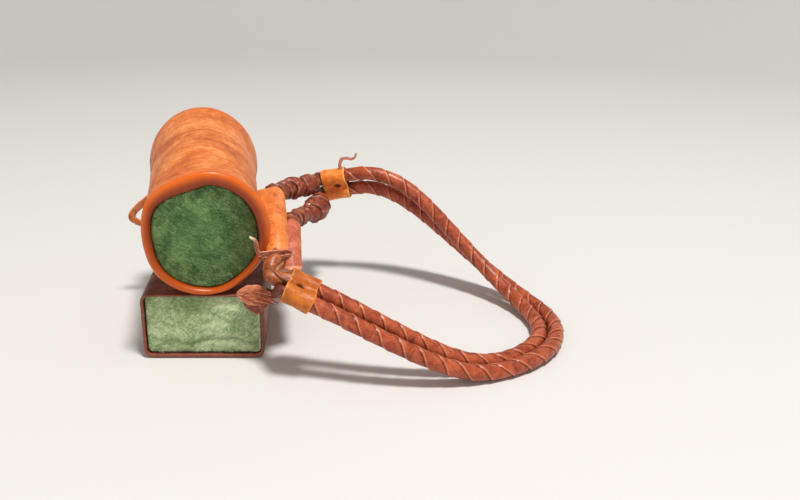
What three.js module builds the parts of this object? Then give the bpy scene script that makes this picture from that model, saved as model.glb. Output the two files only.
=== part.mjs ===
// Leather medicine bag: a drum pouch and a box pouch, both sewn shut, on a double strap of
// spirally wrapped leather cords. Millimetres, +Z up, +Y away from the viewer.
// The origin is the middle of the box pouch's flat underside.
import * as THREE from 'three';

// Clearance between pieces that touch.
const SEAT_GAP = 0.3;

// Box pouch, flat on the ground, with its two green panels facing front and back.
const BOX_WIDTH = 94;
const BOX_DEPTH = 104;
const BOX_HEIGHT = 54;
const BOX_CORNER = 9;
const BOX_RIM = 3.6;
const BOX_RECESS = 5;
const BOX_PUFF = 4.2;
// The box's wall is straight between these shares of its depth.
const BOX_WALL_SHARES = [0.3, 0.7];
// How a padded panel swells from its edge: share of the way in, and share of the swelling there.
const PANEL_SWELL = [[0.12, 0.45], [0.32, 0.75], [0.62, 0.94], [0.85, 1]];

// Drum pouch, lying across the box with its axis away from the viewer, its back end raised.
const DRUM_LENGTH = 143.5;
const DRUM_WIDTH = 92;
const DRUM_HEIGHT = 104.5;
const DRUM_RIM = 6.4;
const DRUM_RECESS = 7;
const DRUM_WAIST = 2.8;
const DRUM_BACK_FLARE = 1;
const DRUM_CROWN = 5;
const DRUM_TILT = THREE.MathUtils.degToRad(5);
const DRUM_YAW = THREE.MathUtils.degToRad(6.75);
const DRUM_SHIFT = 5;
const DRUM_OVERHANG = 7.1;
// The drum's wall between its rims: share of the length, and share of the waist's depth there.
const DRUM_WALL_SHAPE = [[0.08, 0.45], [0.2, 0.85], [0.45, 1], [0.75, 0.75], [0.91, 0.2]];
// The lower right of the drum is pulled flat by the seam that runs to the sleeves.
const DRUM_FLAT = 0.07;
const DRUM_FLAT_ANGLE = THREE.MathUtils.degToRad(-58);
const DRUM_FLAT_SPREAD = THREE.MathUtils.degToRad(22);

// Two leather sleeves along the drum's right side, each holding a length of lanyard.
const UPPER_SLEEVE_RADIUS = 9;
const UPPER_SLEEVE_WALL = 2;
const UPPER_SLEEVE_FRONT = -8;
const UPPER_SLEEVE_SETBACK = 21.5;
const UPPER_SLEEVE_ANGLE = THREE.MathUtils.degToRad(-12);
const LOWER_SLEEVE_RADIUS = 8;
const LOWER_SLEEVE_WALL = 2.9;
const LOWER_SLEEVE_FRONT = -0.4;
const LOWER_SLEEVE_SETBACK = 59.5;
const LOWER_SLEEVE_ANGLE = THREE.MathUtils.degToRad(-46);
const LANYARD_REACH = 1.5;

// Double strap: two wrapped cords, bound together by a collar at each end.
const CORD_DIAMETER = 12;
const CORD_SPACING = 15;
const COLLAR_LENGTH = 22;
const COLLAR_WALL = 1.9;
// Where the band turns in between the cords, measured round each cord.
const COLLAR_WAIST = THREE.MathUtils.degToRad(40);
// Straight stretch of cord on each side of a collar.
const COLLAR_LEAD = 4;
// Each collar's middle, from the upper lanyard's end on its side.
const NEAR_COLLAR_REACH = new THREE.Vector3(15.5, -18.9, -23.5);
const NEAR_COLLAR_AXIS = new THREE.Vector3(0.9, -0.11, -0.42);
const NEAR_COLLAR_STACK = new THREE.Vector3(0, -0.92, -0.4);
const FAR_COLLAR_REACH = new THREE.Vector3(60.2, 46.8, -14.2);
const FAR_COLLAR_AXIS = new THREE.Vector3(0.95, -0.18, 0.22);
const FAR_COLLAR_STACK = new THREE.Vector3(0.17, 0.27, -0.95);

// The free stretch of each cord, from the near collar down to the ground, round the far bend
// and up to the far collar: places in plan from the middle of the drum's front, and heights.
const INNER_CORD_ROUTE = [
  [99, -17.7, 60.4], [115, -19.9, 52.4], [132, -21.5, 43.4], [149, -22.3, 34.2], [166, -22.1, 25.2],
  [183, -20.7, 17], [199.4, -17.5, 10.8], [215.4, -12.1, 7.4], [230.8, -4.1, 6.4],
  [244.4, 6.7, 6.4], [255.4, 20.1, 6.4], [262.8, 35.7, 6.4], [265.8, 52.7, 6.4], [264.4, 69.9, 6.8],
  [259.4, 86.3, 9.2], [251.8, 101.1, 14], [242.4, 113.7, 21], [231.8, 124.3, 30.2],
  [220.2, 133.1, 41], [208.2, 140.5, 52.8], [196, 146.9, 65], [183.6, 152.5, 77],
  [170.8, 157.5, 87.8], [157.4, 161.9, 96.4], [143.2, 165.7, 101.8], [128.2, 169.1, 103.6],
];
const OUTER_CORD_ROUTE = [
  [99, -32.3, 54.4], [115, -34.7, 46.6], [132, -36.3, 38], [149, -36.9, 29.4], [166, -36.3, 21],
  [183, -34.5, 13.8], [200, -31.1, 8.6], [217, -25.5, 6.4], [234, -17.3, 6.4], [249.6, -6.1, 6.4],
  [263, 8.1, 6.4], [272.8, 24.7, 6.4], [278.4, 43.1, 6.4], [279.4, 62.3, 6.4], [276, 81.3, 6.4],
  [268.8, 99.1, 7.4], [258.8, 114.9, 11], [246.8, 128.5, 17.2], [233.6, 139.9, 25.6],
  [219.8, 149.3, 35.6], [205.6, 157.1, 46.6], [191.2, 163.3, 57.8], [176.6, 168.1, 68.6],
  [161.8, 171.7, 78], [146.8, 174.1, 84.8], [131.6, 175.5, 88.2],
];

// Wrapped ends between the lanyards and the collars: points on the way, from the lanyard's end,
// and lumps as place along the wrapped end, spread and swelling.
const BACK_UPPER_VIA = [[14.7, 9.8, -5.7], [31.7, 27.8, -10.7]];
const BACK_UPPER_LUMPS = [[0.2, 0.1, 1.6], [0.5, 0.1, 3]];
const BACK_LOWER_VIA = [[9.5, 20.9, -8.5], [25.5, 56.9, -14.5]];
const BACK_LOWER_LUMPS = [[0.2, 0.1, 2], [0.58, 0.13, 4.6]];
const FRONT_UPPER_VIA = [[2, -11.4, -9.5]];
const STOPPER_LUMPS = [[0.8, 0.15, 1]];
const STOPPER_TAPER = 0.7;

// Small leather loop low on the drum's left, near its back end.
const LOOP_FROM_BACK = 13.5;
const LOOP_STRIP = 6;
const LOOP_BASE = 2.1;
const LOOP_SIDE = 4.2;
const LOOP_POINT = 5.2;
const LOOP_REACH = 30;
const LOOP_ANGLE = THREE.MathUtils.degToRad(207);
const LOOP_SPREAD = THREE.MathUtils.degToRad(15);

// Thin thongs and the gathered ties.
const THONG_DIAMETER = 2.8;
// Tail of the near thong, from the upper sleeve's axis, and curl of the far one, from its foot.
const THONG_TAIL = [
  [-8, -8.6, -12], [-14, -9, -8], [-15.6, -9, -2], [-16, -9, 4], [-18, -9, 8.6], [-21, -8.6, 12],
];
const FAR_THONG_CURL = [
  [0, 0, 0], [-0.6, 0, 4.5], [1.5, 0, 8.6], [6, -0.5, 9.4], [10, -1, 8.6], [13, -1.5, 10.6], [14, -1.5, 14],
];
const TIE_LENGTH = 34;
const TIE_HEIGHT = 22;
const TIE_DEPTH = 10.4;
const TIE_FOLDS = 7;
const TIE_FOLD_SHARE = 0.1;
// A bundle's outline: share of its length, and share of its full size there.
const TIE_OUTLINE = [
  [0, 0.35], [0.06, 0.66], [0.18, 0.9], [0.38, 1], [0.6, 0.92], [0.8, 0.68], [0.93, 0.42],
];
const TIE_FROM_SIDE = 5.8;
const TIE_ABOVE = 0.4;
const TIE_DROOP = THREE.MathUtils.degToRad(6);
const TIE_TIP_SHARE = 0.2;
const TIE_CORD_DIAMETER = 10;
// Where the tie cord starts on the bundle's front, and its first and last bends.
const TIE_CORD_FOOT = new THREE.Vector3(7.5, -TIE_DEPTH / 2 - 2 * SEAT_GAP, 1.3);
const TIE_CORD_LEAVE = new THREE.Vector3(-1, -8, 3);
const TIE_CORD_RISE = new THREE.Vector3(2, 2, -6);
const REAR_TIE_LENGTH = 40;
const REAR_TIE_SETBACK = 9;
const REAR_TIE_DEPTH = 13;
const REAR_TIE_TIP_SHARE = 0.35;

// Leathers.
const BOX_LEATHER = '#6b3122';
const BOX_GREEN = '#7fa57e';
const DRUM_LEATHER = '#c8622f';
const DRUM_GREEN = '#3f6e4a';
const LOOP_LEATHER = '#b5653c';
const UPPER_SLEEVE_LEATHER = '#d2702f';
const LOWER_SLEEVE_LEATHER = '#b5694e';
const COLLAR_LEATHER = '#dc8a2e';
const CORD_LEATHER = '#a0482c';
const KNOT_LEATHER = '#6a2d20';
const THONG_LEATHER = '#9c5a44';
const TIE_LEATHER = '#8a4630';

const model = new THREE.Group();

// Adds one named piece, with its leather's colour and finish, to a group.
function add(group, name, geometry, color, roughness) {
  const material = new THREE.MeshStandardMaterial({ color, roughness, metalness: 0 });
  const mesh = new THREE.Mesh(geometry, material);
  mesh.name = name;
  group.add(mesh);
  return mesh;
}

function bell(angle, centre, spread) {
  const away = Math.atan2(Math.sin(angle - centre), Math.cos(angle - centre));
  return Math.exp(-((away / spread) ** 2));
}

// Closed skin through equal rings of points, with a fan over each end.
function skin(rings) {
  const sides = rings[0].length;
  const points = rings.flat();
  const index = [];
  for (let ring = 0; ring + 1 < rings.length; ring++) {
    for (let side = 0; side < sides; side++) {
      const a = ring * sides + side;
      const b = ring * sides + (side + 1) % sides;
      index.push(a, b, b + sides, a, b + sides, a + sides);
    }
  }
  const lastStart = (rings.length - 1) * sides;
  for (const start of [0, lastStart]) {
    const middle = new THREE.Vector3();
    for (let side = 0; side < sides; side++) {
      middle.addScaledVector(points[start + side], 1 / sides);
    }
    const centre = points.push(middle) - 1;
    for (let side = 0; side < sides; side++) {
      const a = start + side;
      const b = start + (side + 1) % sides;
      index.push(...(start === 0 ? [b, a, centre] : [a, b, centre]));
    }
  }
  if (enclosed(points, index) < 0) {
    index.reverse();
  }
  const geometry = new THREE.BufferGeometry().setFromPoints(points);
  geometry.setIndex(index);
  geometry.computeVertexNormals();
  return geometry;
}

// Volume inside a closed skin, negative where its faces point in.
function enclosed(points, index) {
  let volume = 0;
  for (let i = 0; i < index.length; i += 3) {
    const cross = new THREE.Vector3().crossVectors(points[index[i + 1]], points[index[i + 2]]);
    volume += points[index[i]].dot(cross) / 6;
  }
  return volume;
}

// Tube along a curve whose radius changes along the way, for wrapped and knotted leather.
function lumpyTube(curve, steps, sides, radiusAt) {
  const frames = curve.computeFrenetFrames(steps, false);
  const rings = [];
  for (let step = 0; step <= steps; step++) {
    const centre = curve.getPointAt(step / steps);
    const radius = radiusAt(step / steps);
    const ring = [];
    for (let side = 0; side < sides; side++) {
      const angle = side / sides * 2 * Math.PI;
      ring.push(centre.clone()
        .addScaledVector(frames.normals[step], radius * Math.cos(angle))
        .addScaledVector(frames.binormals[step], radius * Math.sin(angle)));
    }
    rings.push(ring);
  }
  return skin(rings);
}

// Plain tube along a curve, as an extruded round section.
function cordTube(curve, diameter, sides, steps) {
  const section = new THREE.Shape();
  for (let side = 0; side < sides; side++) {
    const angle = side / sides * 2 * Math.PI;
    const x = diameter / 2 * Math.cos(angle);
    const y = diameter / 2 * Math.sin(angle);
    if (side === 0) {
      section.moveTo(x, y);
    } else {
      section.lineTo(x, y);
    }
  }
  section.closePath();
  return new THREE.ExtrudeGeometry(section, { steps, extrudePath: curve, bevelEnabled: false });
}

function smoothCurve(points) {
  return new THREE.CatmullRomCurve3(points, false, 'centripetal');
}

// Half-round rolled rim: places along the pouch and insets from its outline, inner edge first.
function rolledRim(width) {
  const roll = [];
  const steps = 4;
  for (let step = 0; step <= steps; step++) {
    const turn = step / steps * Math.PI;
    roll.push([width / 2 * (1 - Math.sin(turn)), width / 2 * (1 + Math.cos(turn))]);
  }
  return roll;
}

// Box pouch: rounded outline at an inset, at a place along its depth.
function boxRing(along, inset) {
  const arcSteps = 4;
  const radius = Math.max(BOX_CORNER - inset, 1);
  const reach = BOX_WIDTH / 2 - inset - radius;
  const low = inset + radius;
  const high = BOX_HEIGHT - inset - radius;
  const corners = [[reach, high], [-reach, high], [-reach, low], [reach, low]];
  const ring = [];
  corners.forEach(([x, z], corner) => {
    for (let step = 0; step <= arcSteps; step++) {
      const angle = (corner + step / arcSteps) * Math.PI / 2;
      ring.push(new THREE.Vector3(x + radius * Math.cos(angle), along, z + radius * Math.sin(angle)));
    }
  });
  return ring;
}

// Drum pouch: oval outline at an inset, flattened at its lower right.
function drumRing(along, inset) {
  const sides = 40;
  const ring = [];
  for (let side = 0; side < sides; side++) {
    ring.push(drumPoint(side / sides * 2 * Math.PI, along, inset));
  }
  return ring;
}

function drumPoint(angle, along, inset) {
  const flat = 1 - DRUM_FLAT * bell(angle, DRUM_FLAT_ANGLE, DRUM_FLAT_SPREAD);
  const x = (DRUM_WIDTH / 2 - inset) * flat * Math.cos(angle);
  const z = (DRUM_HEIGHT / 2 - inset) * flat * Math.sin(angle);
  return new THREE.Vector3(x, along, z);
}

// Inset of the drum's wall at a place along it.
function drumWallInset(along) {
  const share = THREE.MathUtils.clamp(along / DRUM_LENGTH, 0, 1);
  const shape = [[0, 0], ...DRUM_WALL_SHAPE, [1, 0]];
  const next = Math.max(1, shape.findIndex(([at]) => at >= share));
  const [from, depthFrom] = shape[next - 1];
  const [to, depthTo] = shape[next];
  return DRUM_WAIST * THREE.MathUtils.mapLinear(share, from, to, depthFrom, depthTo);
}

// Pouch body with a rolled rim and a recessed seat for a panel at each end.
function pouchBody(ringAt, length, rim, recess, backFlare, wall) {
  const rings = [ringAt(recess, rim)];
  for (const [along, inset] of rolledRim(rim)) {
    rings.push(ringAt(along, inset));
  }
  for (const [along, inset] of wall) {
    rings.push(ringAt(along, inset));
  }
  for (const [along, inset] of rolledRim(rim).reverse()) {
    rings.push(ringAt(length - along, inset - backFlare));
  }
  rings.push(ringAt(length - recess, rim - backFlare));
  return skin(rings);
}

// Padded end panel: flat on its seat, tight in its rim, swelling towards its middle.
// Facing is 1 for a panel at the front and -1 for one at the back.
function endPanel(ringAt, seatAt, facing, rim, edge, crown, shortestHalf) {
  const inset = rim + SEAT_GAP;
  const back = seatAt - facing * SEAT_GAP;
  const rings = [ringAt(back, inset), ringAt(back - facing * edge, inset)];
  for (const [share, rise] of PANEL_SWELL) {
    const swell = edge + rise * (crown - edge);
    rings.push(ringAt(back - facing * swell, inset + share * (shortestHalf - inset)));
  }
  return skin(rings);
}

// Box pouch and its panels.
const boxFront = -BOX_DEPTH / 2;
const boxRingFromFront = (along, inset) => boxRing(boxFront + along, inset);
const boxWall = BOX_WALL_SHARES.map((share) => [BOX_DEPTH * share, 0]);
add(model, 'box_wall', pouchBody(boxRingFromFront, BOX_DEPTH, BOX_RIM, BOX_RECESS, 0, boxWall),
  BOX_LEATHER, 0.6);
const boxPanelEdge = BOX_RECESS - BOX_PUFF;
add(model, 'box_front_panel', endPanel(boxRingFromFront, BOX_RECESS, 1, BOX_RIM, boxPanelEdge,
  BOX_PUFF, BOX_HEIGHT / 2), BOX_GREEN, 0.8);
add(model, 'box_back_panel', endPanel(boxRingFromFront, BOX_DEPTH - BOX_RECESS, -1, BOX_RIM,
  boxPanelEdge, BOX_PUFF, BOX_HEIGHT / 2), BOX_GREEN, 0.8);

// Drum pouch: its front rim rests on the box's front top edge.
const drum = new THREE.Group();
const rimFullest = DRUM_RIM / 2;
const drumRest = BOX_HEIGHT + SEAT_GAP + DRUM_HEIGHT / 2 * Math.cos(DRUM_TILT)
  - rimFullest * Math.sin(DRUM_TILT);
drum.position.set(DRUM_SHIFT, boxFront - DRUM_OVERHANG, drumRest);
drum.rotation.set(DRUM_TILT, 0, DRUM_YAW, 'ZXY');
model.add(drum);
drum.updateMatrixWorld(true);
const drumWall = DRUM_WALL_SHAPE.map(([share, depth]) => [DRUM_LENGTH * share, DRUM_WAIST * depth]);
add(drum, 'drum_wall', pouchBody(drumRing, DRUM_LENGTH, DRUM_RIM, DRUM_RECESS, DRUM_BACK_FLARE,
  drumWall), DRUM_LEATHER, 0.5);
const drumPanelEdge = DRUM_RECESS - DRUM_CROWN;
add(drum, 'drum_front_panel', endPanel(drumRing, DRUM_RECESS, 1, DRUM_RIM, drumPanelEdge, DRUM_CROWN,
  DRUM_WIDTH / 2), DRUM_GREEN, 0.9);
add(drum, 'drum_back_panel', endPanel(drumRing, DRUM_LENGTH - DRUM_RECESS, -1,
  DRUM_RIM - DRUM_BACK_FLARE, drumPanelEdge, DRUM_CROWN, DRUM_WIDTH / 2), DRUM_GREEN, 0.9);

// Side loop: a strip bent to a point, its ends against the drum's wall.
function sideLoop() {
  const loopAt = DRUM_LENGTH - LOOP_FROM_BACK;
  const wallInset = drumWallInset(loopAt);
  const foot = (angle, lift) => {
    const onWall = drumPoint(angle, 0, wallInset);
    const outward = onWall.clone().normalize();
    return onWall.addScaledVector(outward, lift);
  };
  const tip = foot(LOOP_ANGLE, LOOP_REACH);
  const innerTip = foot(LOOP_ANGLE, LOOP_REACH - LOOP_POINT);
  const innerSpread = LOOP_SPREAD - LOOP_SIDE / (DRUM_WIDTH / 2);
  const outline = (spread, lift, point) => {
    const arcSteps = 6;
    const points = [];
    for (let step = 0; step <= arcSteps; step++) {
      const foothold = foot(LOOP_ANGLE + spread * (1 - 2 * step / arcSteps), lift);
      points.push(new THREE.Vector2(foothold.x, foothold.z));
    }
    points.push(new THREE.Vector2(point.x, point.z));
    return points;
  };
  const shape = new THREE.Shape(outline(LOOP_SPREAD, SEAT_GAP, tip));
  shape.holes.push(new THREE.Path(outline(innerSpread, SEAT_GAP + LOOP_BASE, innerTip)));
  const geometry = new THREE.ExtrudeGeometry(shape, { depth: LOOP_STRIP, bevelEnabled: false });
  geometry.rotateX(Math.PI / 2);
  geometry.translate(0, loopAt, 0);
  return geometry;
}
add(drum, 'side_loop', sideLoop(), LOOP_LEATHER, 0.6);

// Sleeves against the drum's right side, one outside the other, with a lanyard through each.
const upperReach = drumPoint(UPPER_SLEEVE_ANGLE, 0, -DRUM_BACK_FLARE).length()
  + SEAT_GAP + UPPER_SLEEVE_RADIUS;
const upperSleeveAt = new THREE.Vector2(
  upperReach * Math.cos(UPPER_SLEEVE_ANGLE), upperReach * Math.sin(UPPER_SLEEVE_ANGLE));
const sleeveSpacing = UPPER_SLEEVE_RADIUS + LOWER_SLEEVE_RADIUS + SEAT_GAP;
const lowerSleeveAt = new THREE.Vector2(
  upperSleeveAt.x + sleeveSpacing * Math.cos(LOWER_SLEEVE_ANGLE),
  upperSleeveAt.y + sleeveSpacing * Math.sin(LOWER_SLEEVE_ANGLE));
const upperSleeveBack = DRUM_LENGTH - UPPER_SLEEVE_SETBACK;
const lowerSleeveBack = DRUM_LENGTH - LOWER_SLEEVE_SETBACK;
const LATHE_SIDES = 20;

function sleeve(radius, wall, front, back) {
  const soft = wall / 2;
  const profile = [
    [radius - wall, front], [radius - soft, front], [radius, front + soft],
    [radius, back - wall], [radius - soft, back], [radius - wall, back], [radius - wall, front],
  ];
  return new THREE.LatheGeometry(profile.map(([r, along]) => new THREE.Vector2(r, along)), LATHE_SIDES);
}

function rod(radius, front, back) {
  const profile = [[0, front], [radius, front], [radius, back], [0, back]];
  return new THREE.LatheGeometry(profile.map(([r, along]) => new THREE.Vector2(r, along)), LATHE_SIDES);
}

const upperLanyardRadius = UPPER_SLEEVE_RADIUS - UPPER_SLEEVE_WALL - SEAT_GAP;
const lowerLanyardRadius = LOWER_SLEEVE_RADIUS - LOWER_SLEEVE_WALL - SEAT_GAP;
const sleevePieces = [
  ['upper_sleeve', sleeve(UPPER_SLEEVE_RADIUS, UPPER_SLEEVE_WALL, UPPER_SLEEVE_FRONT, upperSleeveBack),
    upperSleeveAt, UPPER_SLEEVE_LEATHER],
  ['lower_sleeve', sleeve(LOWER_SLEEVE_RADIUS, LOWER_SLEEVE_WALL, LOWER_SLEEVE_FRONT, lowerSleeveBack),
    lowerSleeveAt, LOWER_SLEEVE_LEATHER],
  ['upper_lanyard', rod(upperLanyardRadius, UPPER_SLEEVE_FRONT - LANYARD_REACH,
    upperSleeveBack + LANYARD_REACH), upperSleeveAt, KNOT_LEATHER],
  ['lower_lanyard', rod(lowerLanyardRadius, LOWER_SLEEVE_FRONT - LANYARD_REACH,
    lowerSleeveBack + LANYARD_REACH), lowerSleeveAt, KNOT_LEATHER],
];
for (const [name, geometry, at, color] of sleevePieces) {
  add(drum, name, geometry, color, 0.55).position.set(at.x, 0, at.y);
}

// Place and direction, in the bag's frame, of a lanyard's end. Facing is -1 at the front and
// 1 at the back.
function lanyardEnd(at, along, facing) {
  const face = new THREE.Vector3(at.x, along + facing * (LANYARD_REACH + 2.5 * SEAT_GAP), at.y);
  const outward = new THREE.Vector3(0, facing, 0).transformDirection(drum.matrixWorld);
  return { point: face.applyMatrix4(drum.matrixWorld), outward };
}

// Collars: a leather band pinched between the two cords that it binds.
function collarFrame(at, axis, stack) {
  const forward = axis.clone().normalize();
  const down = stack.clone().addScaledVector(forward, -stack.dot(forward)).normalize();
  const up = down.clone().negate();
  const side = new THREE.Vector3().crossVectors(up, forward);
  const matrix = new THREE.Matrix4().makeBasis(side, up, forward).setPosition(at);
  // Which is 1 for the first (inner) cord and -1 for the second (outer) one.
  const onAxis = (which, along) => at.clone()
    .addScaledVector(up, which * CORD_SPACING / 2).addScaledVector(forward, along);
  return { matrix, forward, up, onAxis };
}

function collarBand() {
  const bandRadius = CORD_DIAMETER / 2 + SEAT_GAP + COLLAR_WALL;
  const half = CORD_SPACING / 2;
  const arcPoints = 14;
  const outline = [];
  for (const which of [1, -1]) {
    for (let point = 0; point <= arcPoints; point++) {
      const sweep = Math.PI + 2 * COLLAR_WAIST;
      const angle = -COLLAR_WAIST + sweep * point / arcPoints + (which === 1 ? 0 : Math.PI);
      outline.push(new THREE.Vector2(bandRadius * Math.cos(angle),
        which * half + bandRadius * Math.sin(angle)));
    }
  }
  const shape = new THREE.Shape(outline);
  for (const which of [1, -1]) {
    const bore = [];
    const boreSides = 16;
    for (let side = 0; side < boreSides; side++) {
      const angle = -side / boreSides * 2 * Math.PI;
      const boreRadius = CORD_DIAMETER / 2 + SEAT_GAP;
      bore.push(new THREE.Vector2(boreRadius * Math.cos(angle),
        which * half + boreRadius * Math.sin(angle)));
    }
    shape.holes.push(new THREE.Path(bore));
  }
  const geometry = new THREE.ExtrudeGeometry(shape, { depth: COLLAR_LENGTH, bevelEnabled: false });
  geometry.translate(0, 0, -COLLAR_LENGTH / 2);
  return geometry;
}

const upperFront = lanyardEnd(upperSleeveAt, UPPER_SLEEVE_FRONT, -1);
const upperBack = lanyardEnd(upperSleeveAt, upperSleeveBack, 1);
const nearCollar = collarFrame(upperFront.point.clone().add(NEAR_COLLAR_REACH), NEAR_COLLAR_AXIS,
  NEAR_COLLAR_STACK);
const farCollar = collarFrame(upperBack.point.clone().add(FAR_COLLAR_REACH), FAR_COLLAR_AXIS,
  FAR_COLLAR_STACK);
for (const [name, frame] of [['near_collar', nearCollar], ['far_collar', farCollar]]) {
  const band = add(model, name, collarBand(), COLLAR_LEATHER, 0.5);
  frame.matrix.decompose(band.position, band.quaternion, band.scale);
}

// Strap cords: from the middle of the near collar to the middle of the far one.
const collarHalf = COLLAR_LENGTH / 2;
const meet = SEAT_GAP / 2;
for (const [name, which, route] of [
  ['strap_cord_inner', 1, INNER_CORD_ROUTE],
  ['strap_cord_outer', -1, OUTER_CORD_ROUTE],
]) {
  const curve = smoothCurve([
    nearCollar.onAxis(which, meet),
    nearCollar.onAxis(which, collarHalf + COLLAR_LEAD),
    ...route.map(([x, y, z]) => new THREE.Vector3(drum.position.x + x, drum.position.y + y, z)),
    farCollar.onAxis(which, collarHalf + COLLAR_LEAD),
    farCollar.onAxis(which, meet),
  ]);
  const cordSides = 10;
  const cordSteps = 34;
  add(model, name, cordTube(curve, CORD_DIAMETER, cordSides, cordSteps), CORD_LEATHER, 0.5);
}

// Wrapped ends: lumps of knotted leather that join the lanyards to the strap in the collars.
const KNOT_SIDES = 12;
const KNOT_STEPS = 18;
const knotNeck = CORD_DIAMETER / 2 - 2 * SEAT_GAP;

// Swelling lumps along a wrapped end, none of them inside the collar or against the sleeve.
function knotRadius(neck, tail, lumps) {
  return (along) => {
    const plain = THREE.MathUtils.lerp(neck, tail, along);
    return lumps.reduce((radius, [at, spread, swell]) => {
      return radius + swell * Math.exp(-(((along - at) / spread) ** 2));
    }, plain);
  };
}

function knotToCollar(name, start, via, frame, which, neck, lumps) {
  const bend = start.point.clone().addScaledVector(start.outward, neck);
  const curve = smoothCurve([
    start.point, bend, ...via.map((reach) => new THREE.Vector3(...reach).add(start.point)),
    frame.onAxis(which, -collarHalf - COLLAR_LEAD), frame.onAxis(which, -collarHalf / 2),
    frame.onAxis(which, -meet),
  ]);
  add(model, name, lumpyTube(curve, KNOT_STEPS, KNOT_SIDES, knotRadius(neck, knotNeck, lumps)),
    KNOT_LEATHER, 0.5);
}

knotToCollar('back_knot_upper', upperBack, BACK_UPPER_VIA, farCollar, 1, upperLanyardRadius,
  BACK_UPPER_LUMPS);
knotToCollar('back_knot_lower', lanyardEnd(lowerSleeveAt, lowerSleeveBack, 1),
  BACK_LOWER_VIA, farCollar, -1, lowerLanyardRadius, BACK_LOWER_LUMPS);
knotToCollar('front_knot_upper', upperFront, FRONT_UPPER_VIA, nearCollar, 1, knotNeck, []);

// Stopper knot in the mouth of the lower sleeve.
const stopper = lanyardEnd(lowerSleeveAt, LOWER_SLEEVE_FRONT, -1);
const stopperEnd = stopper.point.clone().addScaledVector(stopper.outward, 2 * lowerLanyardRadius);
const stopperRadius = knotRadius(lowerLanyardRadius, lowerLanyardRadius * STOPPER_TAPER, STOPPER_LUMPS);
const stopperSteps = 6;
add(model, 'front_knot_lower', lumpyTube(new THREE.LineCurve3(stopper.point, stopperEnd), stopperSteps,
  KNOT_SIDES, stopperRadius), KNOT_LEATHER, 0.5);

// Near thong: one turn round the upper sleeve's front, then a free tail over the drum's rim.
const thongRadius = THONG_DIAMETER / 2;
const turnRadius = UPPER_SLEEVE_RADIUS + SEAT_GAP + thongRadius;
const thongPoints = [];
const turnSteps = 12;
const turnStart = -THONG_DIAMETER - thongRadius / 2;
const turnAdvance = UPPER_SLEEVE_FRONT + 2 * THONG_DIAMETER;
for (let step = 0; step <= turnSteps; step++) {
  const angle = (step / turnSteps * 2 - 1 / 2) * Math.PI;
  const along = turnStart + turnAdvance * step / turnSteps;
  thongPoints.push(new THREE.Vector3(upperSleeveAt.x + turnRadius * Math.cos(angle), along,
    upperSleeveAt.y + turnRadius * Math.sin(angle)));
}
for (const [x, along, z] of THONG_TAIL) {
  thongPoints.push(new THREE.Vector3(upperSleeveAt.x + x, along, upperSleeveAt.y + z));
}
const THONG_SIDES = 8;
const nearThongSteps = 44;
add(drum, 'near_thong', cordTube(smoothCurve(thongPoints), THONG_DIAMETER, THONG_SIDES, nearThongSteps),
  THONG_LEATHER, 0.6);

// Far thong: a short curled end that stands out of the far collar's upper edge.
const thongFoot = farCollar.onAxis(1, collarHalf - THONG_DIAMETER)
  .addScaledVector(farCollar.up, CORD_DIAMETER / 2 + COLLAR_WALL + 3 * SEAT_GAP);
const curl = FAR_THONG_CURL.map((offset) => new THREE.Vector3(...offset).add(thongFoot));
const farThongSteps = 16;
add(model, 'far_thong', cordTube(smoothCurve(curl), THONG_DIAMETER, THONG_SIDES, farThongSteps),
  KNOT_LEATHER, 0.6);

// Gathered tie: a bundle of leather strips, folded along its length and drawn to tips at its
// right end.
function gatheredBundle(length, depth, height, tip) {
  const sides = 4 * TIE_FOLDS;
  return skin([...TIE_OUTLINE, [1, tip]].map(([share, size]) => {
    const ring = [];
    for (let side = 0; side < sides; side++) {
      const angle = side / sides * 2 * Math.PI;
      const fold = 1 - TIE_FOLD_SHARE * (1 + Math.cos(TIE_FOLDS * angle));
      ring.push(new THREE.Vector3((share - 0.5) * length, depth / 2 * size * fold * Math.cos(angle),
        height / 2 * size * fold * Math.sin(angle)));
    }
    return ring;
  }));
}

// Front tie: hangs over the box's front right corner, against the front rim.
const frontTieAt = new THREE.Vector3(BOX_WIDTH / 2 - TIE_FROM_SIDE, boxFront - SEAT_GAP - TIE_DEPTH / 2,
  BOX_HEIGHT + TIE_ABOVE);
const frontTie = add(model, 'box_tie_front', gatheredBundle(TIE_LENGTH, TIE_DEPTH, TIE_HEIGHT,
  TIE_TIP_SHARE), TIE_LEATHER, 0.6);
frontTie.position.copy(frontTieAt);
frontTie.rotation.set(0, TIE_DROOP, 0);

// Tie cord: from in front of the bundle up into the near collar, below the inner cord.
const tieCordFoot = frontTieAt.clone().add(TIE_CORD_FOOT);
const tieCordCurve = smoothCurve([
  tieCordFoot,
  tieCordFoot.clone().add(TIE_CORD_LEAVE),
  nearCollar.onAxis(-1, -collarHalf - 3 * COLLAR_LEAD).add(TIE_CORD_RISE),
  nearCollar.onAxis(-1, -collarHalf - COLLAR_LEAD),
  nearCollar.onAxis(-1, -collarHalf / 2),
  nearCollar.onAxis(-1, -meet),
]);
add(model, 'box_tie_cord', lumpyTube(tieCordCurve, KNOT_STEPS, KNOT_SIDES,
  () => TIE_CORD_DIAMETER / 2), KNOT_LEATHER, 0.5);

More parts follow.
